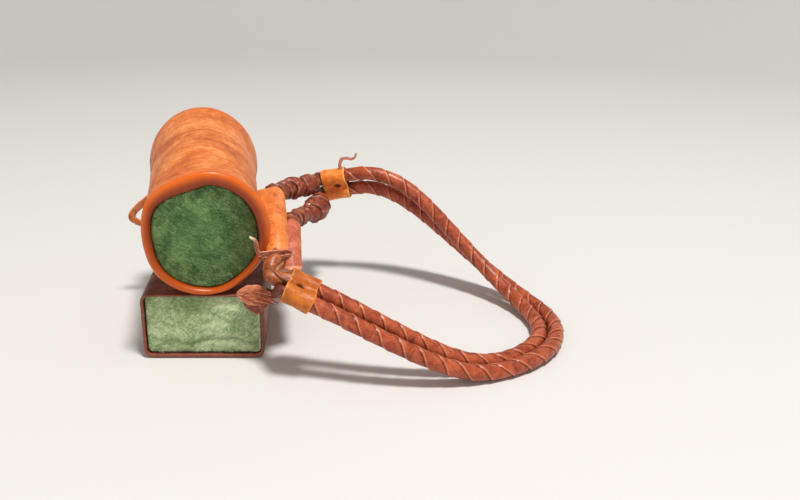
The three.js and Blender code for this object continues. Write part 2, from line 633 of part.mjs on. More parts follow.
// Rear tie: a folded bundle on the box's top, under the drum's raised back end.
const rearTieY = BOX_DEPTH / 2 - REAR_TIE_SETBACK;
const rearAlong = (rearTieY - drum.position.y) / Math.cos(DRUM_TILT) / Math.cos(DRUM_YAW);
const rearUnder = drumPoint(-Math.PI / 2, rearAlong, drumWallInset(rearAlong))
  .applyMatrix4(drum.matrixWorld);
const rearTieHeight = rearUnder.z - BOX_HEIGHT - 2 * SEAT_GAP;
const rearTie = add(model, 'box_tie_rear', gatheredBundle(REAR_TIE_LENGTH, REAR_TIE_DEPTH, rearTieHeight,
  REAR_TIE_TIP_SHARE), TIE_LEATHER, 0.6);
rearTie.position.set(rearUnder.x, rearTieY, BOX_HEIGHT + SEAT_GAP + rearTieHeight / 2);

export default model;
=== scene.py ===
import math

import bmesh
import bpy
import numpy as np
from mathutils import Matrix, Vector, noise


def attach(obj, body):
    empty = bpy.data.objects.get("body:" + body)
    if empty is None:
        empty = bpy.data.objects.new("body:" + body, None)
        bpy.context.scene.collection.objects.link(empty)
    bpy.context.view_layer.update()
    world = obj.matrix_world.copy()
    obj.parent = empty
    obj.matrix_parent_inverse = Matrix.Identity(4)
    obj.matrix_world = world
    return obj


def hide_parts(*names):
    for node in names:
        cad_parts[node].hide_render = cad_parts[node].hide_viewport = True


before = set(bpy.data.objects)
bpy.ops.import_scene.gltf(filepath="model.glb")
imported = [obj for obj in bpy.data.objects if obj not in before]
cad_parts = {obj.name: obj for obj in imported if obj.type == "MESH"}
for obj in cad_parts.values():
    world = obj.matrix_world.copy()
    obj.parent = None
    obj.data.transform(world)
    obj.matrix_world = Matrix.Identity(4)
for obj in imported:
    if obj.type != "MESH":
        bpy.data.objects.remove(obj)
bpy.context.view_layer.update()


# Box pouch shell.
# Dark red-brown hide, folded round a packed core. Both open ends are turned over into a thin
# double rim that holds a green panel.
MM = 0.001
BOX_WIDTH, BOX_DEPTH, BOX_HEIGHT = 94.0, 104.0, 54.0
BOX_CORNER = 6.5
BOX_RIM = 2.6
BOX_RIM_LIFT = 0.7
BOX_SEAT = 5.0
BOX_BULGE = 1.3
BOX_SIDES = 160


def linear(colour):
    """sRGB hex as the linear colour that a shader socket takes."""
    parts = [int(colour[i:i + 2], 16) / 255 for i in (1, 3, 5)]
    return [c / 12.92 if c <= 0.04045 else ((c + 0.055) / 1.055) ** 2.4 for c in parts] + [1.0]


def add(tree, kind, inputs=None, **settings):
    """One node, with its settings, and with its inputs set or linked."""
    made = tree.nodes.new(kind)
    for name, value in settings.items():
        setattr(made, name, value)
    for key, value in (inputs or {}).items():
        if isinstance(value, bpy.types.NodeSocket):
            tree.links.new(value, made.inputs[key])
        else:
            made.inputs[key].default_value = value
    return made


def ramp(tree, factor, *stops):
    """Colour ramp through (place, sRGB hex) stops."""
    made = add(tree, "ShaderNodeValToRGB", {"Fac": factor})
    elements = made.color_ramp.elements
    while len(elements) < len(stops):
        elements.new(0.5)
    for element, (place, colour) in zip(elements, stops):
        element.position = place
        element.color = linear(colour)
    return made.outputs["Color"]


def blend(tree, factor, first, second):
    """Two colours mixed by a factor."""
    made = add(tree, "ShaderNodeMix", {0: factor, 6: first, 7: second}, data_type="RGBA")
    return made.outputs[2]


def leather(name, dark, body, light, cloud=16.0, grain=0.9, rough=(0.34, 0.56), bump=0.35):
    """Dyed leather: clouded colour, pores, fine wrinkles, painted shade where marked, and lighter edges that
    are partly wear and partly painted highlight. Sizes in mm.
    """
    material = bpy.data.materials.new(name)
    material.use_nodes = True
    tree = material.node_tree
    shader = tree.nodes["Principled BSDF"]
    place = add(tree, "ShaderNodeTexCoord").outputs["Object"]
    clouds = add(tree, "ShaderNodeTexNoise", {"Vector": place, "Scale": 1 / (cloud * MM), "Detail": 6.0,
                                              "Roughness": 0.62, "Distortion": 0.6}).outputs["Fac"]
    mottle = add(tree, "ShaderNodeTexNoise", {"Vector": place, "Scale": 1 / (cloud * 0.16 * MM),
                                              "Detail": 4.0, "Roughness": 0.7}).outputs["Fac"]
    both = add(tree, "ShaderNodeMath", {0: clouds, 1: 0.62}, operation="MULTIPLY").outputs[0]
    both = add(tree, "ShaderNodeMath", {0: mottle, 1: 0.38, 2: both}, operation="MULTIPLY_ADD").outputs[0]
    colour = ramp(tree, both, (0.33, dark), (0.5, body), (0.68, light))
    pores = add(tree, "ShaderNodeTexVoronoi", {"Vector": place, "Scale": 1 / (grain * 1.3 * MM),
                                               "Randomness": 1.0}).outputs["Distance"]
    pits = add(tree, "ShaderNodeMapRange", {"Value": pores, 1: 0.0, 2: 0.22, 3: 0.35, 4: 0.0}).outputs[0]
    colour = blend(tree, pits, colour, linear(dark))
    # Marks darken with painted shade in creases, recesses and shaded sides, and lighten edges, partly wear and
    # partly painted highlight.
    painted_shade = add(tree, "ShaderNodeAttribute", attribute_name="painted_shade").outputs["Fac"]
    edge = add(tree, "ShaderNodeAttribute", attribute_name="edge").outputs["Fac"]
    deep = [c * 0.3 for c in linear(dark)[:3]] + [1.0]
    colour = blend(tree, painted_shade, colour, deep)
    lighter_edge = add(tree, "ShaderNodeMath", {0: edge, 1: mottle}, operation="MULTIPLY").outputs[0]
    lighter_edge = add(tree, "ShaderNodeMath", {0: lighter_edge, 1: 1.5}, operation="MULTIPLY", use_clamp=True).outputs[0]
    pale = [min(1.0, c * 1.35 + 0.05) for c in linear(light)[:3]] + [1.0]
    colour = blend(tree, lighter_edge, colour, pale)
    tree.links.new(colour, shader.inputs["Base Color"])
    shine = add(tree, "ShaderNodeMapRange", {"Value": both, 1: 0.35, 2: 0.65, 3: rough[1], 4: rough[0]})
    tree.links.new(shine.outputs[0], shader.inputs["Roughness"])
    fine = add(tree, "ShaderNodeTexNoise", {"Vector": place, "Scale": 1 / (grain * MM), "Detail": 3.0,
                                            "Roughness": 0.6}).outputs["Fac"]
    wrinkle = add(tree, "ShaderNodeTexNoise", {"Vector": place, "Scale": 1 / (grain * 6 * MM), "Detail": 3.0,
                                               "Distortion": 1.4}).outputs["Fac"]
    height = add(tree, "ShaderNodeMath", {0: wrinkle, 1: 2.0, 2: fine}, operation="MULTIPLY_ADD").outputs[0]
    height = add(tree, "ShaderNodeMath", {0: pits, 1: -1.0, 2: height}, operation="MULTIPLY_ADD").outputs[0]
    relief = add(tree, "ShaderNodeBump", {"Strength": bump, "Distance": 0.25 * MM, "Height": height})
    tree.links.new(relief.outputs[0], shader.inputs["Normal"])
    shader.inputs["Specular IOR Level"].default_value = 0.36
    return material


def ripple(points, size, seed):
    """Smooth noise from -1 to 1 at points in mm, with bumps about that size in mm."""
    shift = Vector((seed * 7.31, seed * 3.17, seed * 5.77))
    flat = np.asarray(points, float).reshape(-1, 3) / size
    values = np.array([noise.noise(Vector(p) + shift) for p in flat])
    return values.reshape(np.asarray(points).shape[:-1])


def skin(name, rings, material, marks=None):
    """Closed piece through equal rings of points in mm, with named marks at each point."""
    rings = np.asarray(rings, float)
    rows, sides = rings.shape[:2]
    ring, side = np.meshgrid(np.arange(rows - 1), np.arange(sides), indexing="ij")
    after = (side + 1) % sides
    quads = np.stack([ring * sides + side, ring * sides + after,
                      (ring + 1) * sides + after, (ring + 1) * sides + side], axis=-1).reshape(-1, 4)
    faces = quads.tolist()
    faces.append(list(range(sides))[::-1])
    faces.append(list(range((rows - 1) * sides, rows * sides)))
    mesh = bpy.data.meshes.new(name)
    mesh.from_pydata((rings.reshape(-1, 3) * MM).tolist(), [], faces)
    for mark, values in (marks or {}).items():
        kept = mesh.attributes.new(mark, "FLOAT", "POINT")
        kept.data.foreach_set("value", np.ravel(values).astype(np.float32))
    work = bmesh.new()
    work.from_mesh(mesh)
    bmesh.ops.recalc_face_normals(work, faces=work.faces)
    work.to_mesh(mesh)
    work.free()
    mesh.shade_smooth()
    piece = bpy.data.objects.new(name, mesh)
    bpy.context.scene.collection.objects.link(piece)
    mesh.materials.append(material)
    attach(piece, "root")
    return piece


def box_outline(inset):
    """Points round the box's rounded outline, evenly spaced, from its middle outwards."""
    radius = max(BOX_CORNER - inset, 0.6)
    half_w, half_h = BOX_WIDTH / 2 - inset - radius, max(BOX_HEIGHT / 2 - inset - radius, 0.0)
    arc = np.radians(np.linspace(0, 90, 13))
    corners = [(half_w, half_h, 0), (-half_w, half_h, 90), (-half_w, -half_h, 180), (half_w, -half_h, 270)]
    line = np.concatenate([np.stack([x + radius * np.cos(arc + math.radians(a)),
                                     z + radius * np.sin(arc + math.radians(a))], -1) for x, z, a in corners])
    line[:, 1] += BOX_RIM_LIFT * min(inset / BOX_RIM, 1.0)
    line = np.vstack([line, line[:1]])
    far = np.concatenate([[0], np.cumsum(np.linalg.norm(np.diff(line, axis=0), axis=1))])
    at = np.arange(BOX_SIDES) / BOX_SIDES * far[-1]
    return np.stack([np.interp(at, far, line[:, 0]), np.interp(at, far, line[:, 1])], -1)


box_leather = leather("red_brown_hide", "#3a150c", "#6c2f1c", "#8d482a", cloud=18.0, rough=(0.4, 0.58))
# Rows from the panel's seat, over the rim and onto the wall: place along, inset, painted shade in the seat and
# grooves, lighter crest.
RIM_ROUND = BOX_RIM / 2
end = [(BOX_SEAT, BOX_RIM, 0.8, 0.0), (2.7, BOX_RIM, 0.8, 0.0)]
end += [(RIM_ROUND - RIM_ROUND * math.sin(t), RIM_ROUND + RIM_ROUND * math.cos(t), 0.0, 0.4 * math.sin(t))
        for t in np.linspace(0.25, math.pi - 0.2, 9)]
end += [(2.8, 0.35, 0.0, 0.0), (3.4, 0.9, 0.75, 0.0), (4.1, 0.4, 0.0, 0.0), (5.1, 0.05, 0.0, 0.4),
        (6.2, 0.15, 0.0, 0.0), (7.0, 0.6, 0.7, 0.0), (7.9, 0.4, 0.0, 0.0), (10.0, 0.15, 0.0, 0.0)]
wall = [(a, 0.0, 0.0, 0.0) for a in np.linspace(14, BOX_DEPTH - 14, 27)]
stations = end + wall + [(BOX_DEPTH - row[0], *row[1:]) for row in end[::-1]]
rings = []
for along, inset, dark, rubbed in stations:
    line = box_outline(inset)
    middle = math.sin(math.pi * along / BOX_DEPTH) ** 0.7
    flat = np.clip(1 - (line[:, 0] / (BOX_WIDTH / 2)) ** 6, 0, 1)
    rise = np.where(line[:, 1] > 10, BOX_BULGE * middle * flat, 0)
    out = np.where(np.abs(line[:, 0]) > BOX_WIDTH / 2 - 8, BOX_BULGE * middle * (1 - (line[:, 1] / 30) ** 2), 0)
    points = np.stack([line[:, 0] + np.sign(line[:, 0]) * out, np.full(len(line), along - BOX_DEPTH / 2),
                       BOX_HEIGHT / 2 + line[:, 1] - 0.6 * rise], -1)
    away = np.concatenate([line / np.linalg.norm(line, axis=1)[:, None], np.zeros((len(line), 1))],
                          1)[:, [0, 2, 1]]
    stretch = points * np.array([1, 0.35, 1])
    lumps = 0.35 * ripple(stretch, 7.0, 1) + 0.45 * ripple(points, 4.5,
                                                           2) * (min(along, BOX_DEPTH - along) < 12)
    lumps[points[:, 2] < 6] *= 0.2
    points = points + away * lumps[:, None]
    points[:, 2] = np.maximum(points[:, 2], 0.0)
    rings.append(points)
marks = {mark: [np.full(BOX_SIDES, row[k]) for row in stations] for mark, k in (("painted_shade", 2), ("edge", 3))}
box_shell = skin("box_shell", rings, box_leather, marks)
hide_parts("box_wall")


# Box pouch panels.
# Pale green suede over a padded back, glued in behind the rim at the front and the back. The nap
# is brushed slantwise and is worn pale.
BOX_PUFF = 3.8
BOX_PANEL_EDGE = 0.9
PANEL_SINK = 0.3
NAP_GAP = 0.35


def suede(name, deep, body, pale, turn, blotch=17.0):
    """Brushed suede: blotched dye, slanting strokes of nap and a soft sheen. Sizes in mm."""
    material = bpy.data.materials.new(name)
    material.use_nodes = True
    tree = material.node_tree
    shader = tree.nodes["Principled BSDF"]
    place = add(tree, "ShaderNodeTexCoord").outputs["Object"]
    turned = add(tree, "ShaderNodeMapping",
                 {"Vector": place, "Rotation": (0, math.radians(turn), 0)}).outputs[0]
    strokes = add(tree, "ShaderNodeMapping",
                  {"Vector": turned, "Scale": tuple(1 / (size * MM) for size in (4.0, 2.5, 1.3))}).outputs[0]
    brushed = add(tree, "ShaderNodeTexNoise",
                  {"Vector": strokes, "Scale": 1.0, "Detail": 3.0, "Roughness": 0.65,
                   "Distortion": 0.7}).outputs["Fac"]
    clouds = add(tree, "ShaderNodeTexNoise", {"Vector": place, "Scale": 1 / (blotch * MM), "Detail": 5.0,
                                              "Roughness": 0.6, "Distortion": 0.8}).outputs["Fac"]
    fine = add(tree, "ShaderNodeTexNoise",
               {"Vector": place, "Scale": 1 / (0.7 * MM), "Detail": 2.0}).outputs["Fac"]
    both = add(tree, "ShaderNodeMath", {0: clouds, 1: 0.38}, operation="MULTIPLY").outputs[0]
    both = add(tree, "ShaderNodeMath", {0: brushed, 1: 0.36, 2: both}, operation="MULTIPLY_ADD").outputs[0]
    both = add(tree, "ShaderNodeMath", {0: fine, 1: 0.32, 2: both}, operation="MULTIPLY_ADD").outputs[0]
    colour = ramp(tree, both, (0.39, deep), (0.5, body), (0.61, pale))
    # Marks: paler fibres, painted light near the middle, painted shade towards the right edge, and painted
    # shade in creases and along the rim.
    for mark, tint in (("fibre", pale), ("painted_middle_light", "#5c9a5c"), ("painted_right_shade", "#4e4a2c"), ("painted_shade", "#171d0e")):
        amount = add(tree, "ShaderNodeAttribute", attribute_name=mark).outputs["Fac"]
        colour = blend(tree, amount, colour, linear(tint))
    tree.links.new(colour, shader.inputs["Base Color"])
    height = add(tree, "ShaderNodeMath", {0: brushed, 1: 2.0, 2: fine}, operation="MULTIPLY_ADD").outputs[0]
    relief = add(tree, "ShaderNodeBump", {"Strength": 0.8, "Distance": 0.6 * MM, "Height": height})
    tree.links.new(relief.outputs[0], shader.inputs["Normal"])
    shader.inputs["Roughness"].default_value = 0.9
    shader.inputs["Specular IOR Level"].default_value = 0.25
    shader.inputs["Sheen Weight"].default_value = 0.25
    shader.inputs["Sheen Roughness"].default_value = 0.5
    shader.inputs["Sheen Tint"].default_value = linear(pale)
    return material


def group(name, **sockets):
    """Empty Geometry Nodes tree with a geometry in and out and named inputs."""
    tree = bpy.data.node_groups.new(name, "GeometryNodeTree")
    tree.interface.new_socket("Geometry", in_out="INPUT", socket_type="NodeSocketGeometry")
    for key, kind in sockets.items():
        tree.interface.new_socket(key, in_out="INPUT", socket_type="NodeSocket" + kind)
    tree.interface.new_socket("Geometry", in_out="OUTPUT", socket_type="NodeSocketGeometry")
    return tree, tree.nodes.new("NodeGroupInput").outputs


def close(tree, geometry, material):
    """Ends a tree: single mesh, smooth, with its material."""
    whole = add(tree, "GeometryNodeRealizeInstances", {"Geometry": geometry}).outputs[0]
    smooth = add(tree, "GeometryNodeSetShadeSmooth", {0: whole}).outputs[0]
    faced = add(tree, "GeometryNodeSetMaterial", {"Geometry": smooth, "Material": material}).outputs[0]
    add(tree, "NodeGroupOutput", {0: faced})


def grow(source, tree, name, slot, **values):
    """Runs a tree on a source object and keeps the result as a plain mesh piece."""
    modifier = source.modifiers.new("grow", "NODES")
    modifier.node_group = tree
    for socket in tree.interface.items_tree:
        if socket.in_out == "INPUT" and socket.name in values:
            modifier[socket.identifier] = values[socket.name]
    bpy.context.view_layer.update()
    ready = source.evaluated_get(bpy.context.evaluated_depsgraph_get())
    mesh = bpy.data.meshes.new_from_object(ready)
    mesh.name = name
    source.modifiers.remove(modifier)
    piece = bpy.data.objects.new(name, mesh)
    bpy.context.scene.collection.objects.link(piece)
    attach(piece, "root")
    return piece


# Nap: short tapered fibres that lean one way, thick enough to catch the light.
nap_tree, nap_in = group("suede_nap", Density="Float", Length="Float", Radius="Float", Tone="Float",
                         Lean="Vector", Material="Material")
nap_points = add(nap_tree, "GeometryNodeDistributePointsOnFaces",
                 {"Mesh": nap_in["Geometry"], "Density": nap_in["Density"], "Seed": 7,
                  "Selection": add(nap_tree, "GeometryNodeInputNamedAttribute", {"Name": "nap"},
                                   data_type="FLOAT").outputs[0]})
stray = add(nap_tree, "FunctionNodeRandomValue", {0: (-0.55, -0.55, -0.55), 1: (0.55, 0.55, 0.55), "Seed": 3},
            data_type="FLOAT_VECTOR").outputs[0]
lean = add(nap_tree, "ShaderNodeVectorMath", {0: nap_in["Lean"], 1: stray}, operation="ADD").outputs[0]
lean = add(nap_tree, "ShaderNodeVectorMath", {0: lean, 1: nap_points.outputs["Normal"]},
           operation="ADD").outputs[0]
turned = add(nap_tree, "FunctionNodeAlignRotationToVector", {"Vector": lean}, axis="Z").outputs[0]
blade = add(nap_tree, "GeometryNodeMeshCone",
            {"Vertices": 3, "Radius Top": 0.03 * MM, "Radius Bottom": nap_in["Radius"],
             "Depth": nap_in["Length"]}, fill_type="NONE").outputs["Mesh"]
sizes = add(nap_tree, "FunctionNodeRandomValue", {2: 0.5, 3: 1.25, "Seed": 5}, data_type="FLOAT").outputs[1]
blades = add(nap_tree, "GeometryNodeInstanceOnPoints",
             {"Points": nap_points.outputs["Points"], "Instance": blade, "Rotation": turned,
              "Scale": sizes}).outputs[0]
tone = add(nap_tree, "FunctionNodeRandomValue", {2: 0.0, 3: nap_in["Tone"], "Seed": 11},
           data_type="FLOAT").outputs[1]
blades = add(nap_tree, "GeometryNodeStoreNamedAttribute", {"Geometry": blades, "Name": "fibre", "Value": tone},
             data_type="FLOAT", domain="INSTANCE").outputs[0]
close(nap_tree, blades, nap_in["Material"])

box_suede = suede("pale_green_suede", "#5e7c4a", "#a0bd7c", "#ecf4cc", 38.0, blotch=22.0)


def panel(ring_at, facing, seat, edge, crown, depth_in, lumps):
    """Crowned panel in its seat: rings from its hidden back edge to its middle, its nap mark, and painted
    shadow along its edge by the rim.
    """
    shares = np.concatenate([[0, 0], np.linspace(0.0, 1, 46)[1:]])
    rings, marks, rim = [], [], []
    for row, share in enumerate(shares):
        line = ring_at(share * depth_in)
        swell = edge + (crown - edge) * (1 - (1 - share) ** 2.6) if row > 1 else (0.0 if row == 0 else edge)
        rings.append(np.stack([line[:, 0], np.full(len(line), seat - facing * swell), line[:, 1]], -1))
        marks.append(np.full(len(line), float(row > 2)))
        rim.append(np.full(len(line), max(0.0, 0.8 - share * 16)))
    rings = np.array(rings)
    rings[2:, :, 1] -= facing * lumps(rings[2:])
    return rings, np.array(marks), np.array(rim)


def box_folds(points):
    """Lie of the box's suede, and how deep it lies in its folds: a wavy one low down, two slanting ones."""
    x, z = points[..., 0], points[..., 2]
    low = z - 14.5 - 2.0 * np.sin(x / 8.5) - 0.8 * np.sin(x / 3.7 + 1)
    deep = np.exp(-(low / 2.2) ** 2) * np.clip(0.35 + (x + 30) / 60, 0.1, 1)
    for at, tilt, reach in ((30, 0.5, 9), (38, -0.28, 14)):
        away = z - at - tilt * x - 1.2 * np.sin(x / 5.0 + at)
        deep = np.maximum(deep, 0.5 * np.exp(-(away / 2.2) ** 2) * np.exp(-((x - 8) / reach) ** 2))
    lie = 0.75 * ripple(points * np.array([1, 0, 1.6]), 13.0, 4)
    lie = lie + 0.4 * ripple(points * np.array([1, 0, 1]), 4.5, 6)
    return lie - 1.4 * deep - 0.1, deep


for name, facing, seat in (("box_front", 1, -BOX_DEPTH / 2 + BOX_SEAT - PANEL_SINK),
                           ("box_back", -1, BOX_DEPTH / 2 - BOX_SEAT + PANEL_SINK)):
    rings, napped, rim = panel(lambda deep: box_outline(BOX_RIM + NAP_GAP + deep)
                               + np.array([0, BOX_HEIGHT / 2]), facing, seat, BOX_PANEL_EDGE, BOX_PUFF,
                               BOX_HEIGHT / 2 - BOX_RIM - BOX_PANEL_EDGE, lambda p: box_folds(p)[0])
    # The right edge was cut and left raw: no nap there, and a pale line.
    cut = np.clip(rings[:, :, 0] * facing / 4 - 9.0, 0, 1)
    # Painted shadow along the rim, except at the raw edge, and painted shade in the folds.
    dark = np.maximum(rim * (1 - cut), 0.22 * box_folds(rings)[1])
    raw = np.clip(1.3 - np.arange(len(rings)) / 4.5, 0, 1)[:, None] * cut
    marks = {"nap": napped * (raw < 0.25), "painted_shade": dark, "fibre": raw}
    cushion = skin(name + "_suede", rings, box_suede, marks)
    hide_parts(name + "_panel")
    for kind, density, length, thick, tone in (("_nap", 2.6e6, 1.2, 0.16, 0.6),
                                               ("_flecks", 0.3e6, 2.6, 0.3, 1.0)):
        grow(cushion, nap_tree, name + kind, "box_green", Density=density, Length=length * MM,
             Radius=thick * MM, Tone=tone, Material=box_suede, Lean=(1.7, 0.0, -1.3))


# Drum pouch wall.
# Orange-brown smooth hide round a packed core, with fine lines round it where the hide was rolled,
# and its ends turned in over the panels as a thick glossy rim.
DRUM_LENGTH, DRUM_WIDTH, DRUM_HEIGHT = 143.5, 92.0, 104.5
DRUM_WAIST = 2.8
DRUM_FLARE = 1.0
DRUM_SEAT = 7.0
LIP_ROUND, BACK_LIP_ROUND = 3.8, 3.2
LIP_ROUGHNESS = 0.27
DRUM_FRAME = (Matrix.Translation((5.0, -59.1, 106.07)) @ Matrix.Rotation(math.radians(6.75), 4, "Z")
              @ Matrix.Rotation(math.radians(5.0), 4, "X"))
# Front end, anticlockwise from the right: angle, inset of the rim's outer edge and of its inner edge.
FRONT_RIM = [(0, -3.5, 5.9), (11, -3.5, 6.8), (23, -3.1, 7.9), (35, -1.3, 9.5), (48, 0.8, 11.6),
             (62, 2.4, 13.6), (76, 4.1, 14.6), (91, 5.5, 17.6), (103, 6.3, 18.8), (118, 5.8, 17.6),
             (133, 3.0, 14.4), (147, 0.1, 9.6), (157, 0.1, 7.8), (174, 1.3, 8.0), (185, 1.2, 8.2),
             (202, 0.4, 7.2), (214, -1.0, 5.6), (227, -1.0, 5.0), (243, -0.3, 5.5), (260, 0.0, 5.6),
             (274, 0.0, 5.0), (287, -0.2, 4.4), (296, -0.5, 4.8), (312, 0.0, 5.0), (331, -1.5, 3.5),
             (348, -3.4, 4.6)]
TOP_DROP_REACH, FLANGE_REACH = 60.0, 11.0
LINES = [(15.5, 0.5), (22.5, 0.9), (31.0, 0.6), (36.0, 1.0), (50.0, 0.8), (55.0, 0.5), (68.0, 1.0), (80.0, 0.6),
         (91.0, 0.9), (97.5, 0.7), (110.0, 1.0), (121.0, 0.7), (127.0, 0.5)]
DRUM_SIDES = 192
turn = np.arange(DRUM_SIDES) / DRUM_SIDES * 2 * math.pi


def placed(points):
    """Points from the drum's frame to the bag's frame, in mm."""
    flat = np.asarray(points, float)
    spin = np.array(DRUM_FRAME.to_3x3())
    return flat @ spin.T + np.array(DRUM_FRAME.translation)


def drum_outline(inset, pulled=1.0):
    """Points round the drum's oval outline, pulled flat at its lower right."""
    away = np.angle(np.exp(1j * (turn - math.radians(-58))))
    flat = 1 - 0.07 * pulled * np.exp(-(away / math.radians(22)) ** 2)
    return np.stack([(DRUM_WIDTH / 2 - inset) * flat * np.cos(turn),
                     (DRUM_HEIGHT / 2 - inset) * flat * np.sin(turn)], -1)


def waist(along):
    """Inset of the drum's wall at places along it."""
    fine = np.linspace(0, 1, 300)
    shape = np.interp(fine, [0, 0.04, 0.08, 0.2, 0.45, 0.75, 0.91, 1],
                      [0.0, 0.15, 0.45, 0.85, 1, 0.75, 0.2, -0.3])
    shape = np.convolve(np.pad(shape, 14, "edge"), np.ones(29) / 29, "valid")
    return DRUM_WAIST * np.interp(np.asarray(along) / DRUM_LENGTH, fine, shape)


front = np.array(FRONT_RIM)
rim_outer, rim_inner = [np.convolve(np.pad(np.interp(np.degrees(turn), front[:, 0], front[:, k], period=360),
                                           5, "wrap"), np.ones(11) / 11, "valid") for k in (1, 2)]


def front_pull(along):
    """Inset that the front end's uneven outline still gives to the wall at a place along it."""
    fade = [np.clip(1 - along / reach, 0, 1) for reach in (TOP_DROP_REACH, FLANGE_REACH)]
    fade = [f * f * (3 - 2 * f) for f in fade]
    return np.where(rim_outer > 0, rim_outer * fade[0], rim_outer * fade[1])


rows = []
for along in (DRUM_SEAT, 5.2):
    rows.append((np.full(DRUM_SIDES, along), rim_inner, 0.0))
for t in np.linspace(0.1, math.pi - 0.35, 15):
    rows.append((LIP_ROUND - LIP_ROUND * np.sin(t) + np.zeros(DRUM_SIDES),
                 rim_outer + (rim_inner - rim_outer) * (0.5 + 0.5 * math.cos(t)), 0.0))
for along in np.arange(4.2, DRUM_LENGTH - 6.0, 0.5):
    rows.append((np.full(DRUM_SIDES, along), waist(along) + front_pull(along), min(1.0, (along - 4.2) / 20)))
for t in np.linspace(0.4, math.pi - 0.1, 11):
    rows.append((np.full(DRUM_SIDES, DRUM_LENGTH - BACK_LIP_ROUND + BACK_LIP_ROUND * math.sin(t)),
                 np.full(DRUM_SIDES, BACK_LIP_ROUND * (1 - math.cos(t)) - DRUM_FLARE), 1.0))
for deep in (3.4, DRUM_SEAT):
    rows.append((np.full(DRUM_SIDES, DRUM_LENGTH - deep), np.full(DRUM_SIDES, 6.4 - DRUM_FLARE), 1.0))
rings = []
for along, inset, pulled in rows:
    line = drum_outline(inset, pulled)
    rings.append(np.stack([line[:, 0], along, line[:, 1]], -1))
rings = np.array(rings)
along = rings[:, :, 1]
outward = rings * np.array([1, 0, 1])
outward = outward / np.linalg.norm(outward, axis=2)[:, :, None]
on_wall = np.clip((along - 9) / 4, 0, 1) * np.clip((DRUM_LENGTH - 8 - along) / 4, 0, 1)
groove = np.zeros(along.shape)
for place, (at, depth) in enumerate(LINES):
    drift = 0.9 * np.sin(turn + place * 1.9) + 0.5 * np.sin(2 * turn + place * 2.7)
    fade = np.clip(0.6 + 0.45 * np.sin(turn * (1 + place % 2) + place * 2.3), 0.12, 1)
    groove = np.maximum(groove, depth * fade * np.exp(-((along - at - drift) / 0.8) ** 2))
groove = groove * on_wall
lump = 0.55 * ripple(rings * np.array([1, 0.6, 1]), 26.0, 9) + 0.22 * ripple(rings, 9.0, 10)
rings = rings + outward * (0.6 * lump * on_wall - 0.42 * groove
                           + 0.18 * ripple(rings, 6.0, 11) * (1 - on_wall))[:, :, None]
lip = np.clip(1 - (along - 3.0) / 9, 0, 1) + np.clip((along - DRUM_LENGTH + 8) / 5, 0, 1)
# Painted shade over the front lip's inner face.
painted_lip_shade = np.zeros(along.shape)
painted_lip_shade[:14] = np.array([1, 1, 1, 1, 1, 1, 1, 1, 0.95, 0.85, 0.7, 0.5, 0.3, 0.1])[:, None]
# Painted shadow: a dark line where each rim tucks in against its panel.
painted_tuck_shadow = np.zeros(along.shape)
painted_tuck_shadow[:6], painted_tuck_shadow[-3:] = np.array([0.85, 0.85, 0.85, 0.7, 0.45, 0.2])[:, None], 0.85

drum_leather = leather("orange_hide", "#a04a20", "#d2702f", "#f2a05c", cloud=30.0, rough=(0.4, 0.58), bump=0.25)


def tint(material, mark, colour):
    """Dyes a leather where a mark says so, and gives back the mark's socket."""
    tree = material.node_tree
    taken = tree.nodes["Principled BSDF"].inputs["Base Color"]
    amount = add(tree, "ShaderNodeAttribute", attribute_name=mark).outputs["Fac"]
    tree.links.new(blend(tree, amount, taken.links[0].from_socket, linear(colour)), taken)
    return amount


# The lip is oiled and glossy. Its inner face gets painted shade, lighter towards the bottom, and each rolled
# line is painted darker as shade in its groove.
at_lip = tint(drum_leather, "lip", "#d8600f")
tint(drum_leather, "painted_lip_shade", "#8c2f05")
tint(drum_leather, "line", "#7c3215")
tree = drum_leather.node_tree
taken = tree.nodes["Principled BSDF"].inputs["Roughness"]
tree.links.new(add(tree, "ShaderNodeMix", {0: at_lip, 2: taken.links[0].from_socket, 3: LIP_ROUGHNESS},
                   data_type="FLOAT").outputs[0], taken)
drum_shell = skin("drum_shell", placed(rings), drum_leather,
                  {"painted_shade": painted_tuck_shadow, "line": groove * 0.6, "lip": lip * 0.85,
                   "painted_lip_shade": painted_lip_shade * (0.95 - 0.45 * np.clip(-np.sin(turn), 0, 1))})
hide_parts("drum_wall")


# Drum pouch panels.
# Dark green suede over a slightly crowned packing, held behind the rims. Each has painted light near its
# middle, painted shade towards its right edge and a painted shadow along the rim.
DRUM_PANEL_EDGE, DRUM_PUFF, DRUM_PANEL_REACH = 2.0, 5.0, 38.5


def drum_lumps(p):
    """Lumps of the drum's packing under its suede."""
    flat = p * np.array([1, 0, 1])
    return 0.6 * ripple(flat, 20.0, 14) + 0.3 * ripple(flat, 6.0, 15)


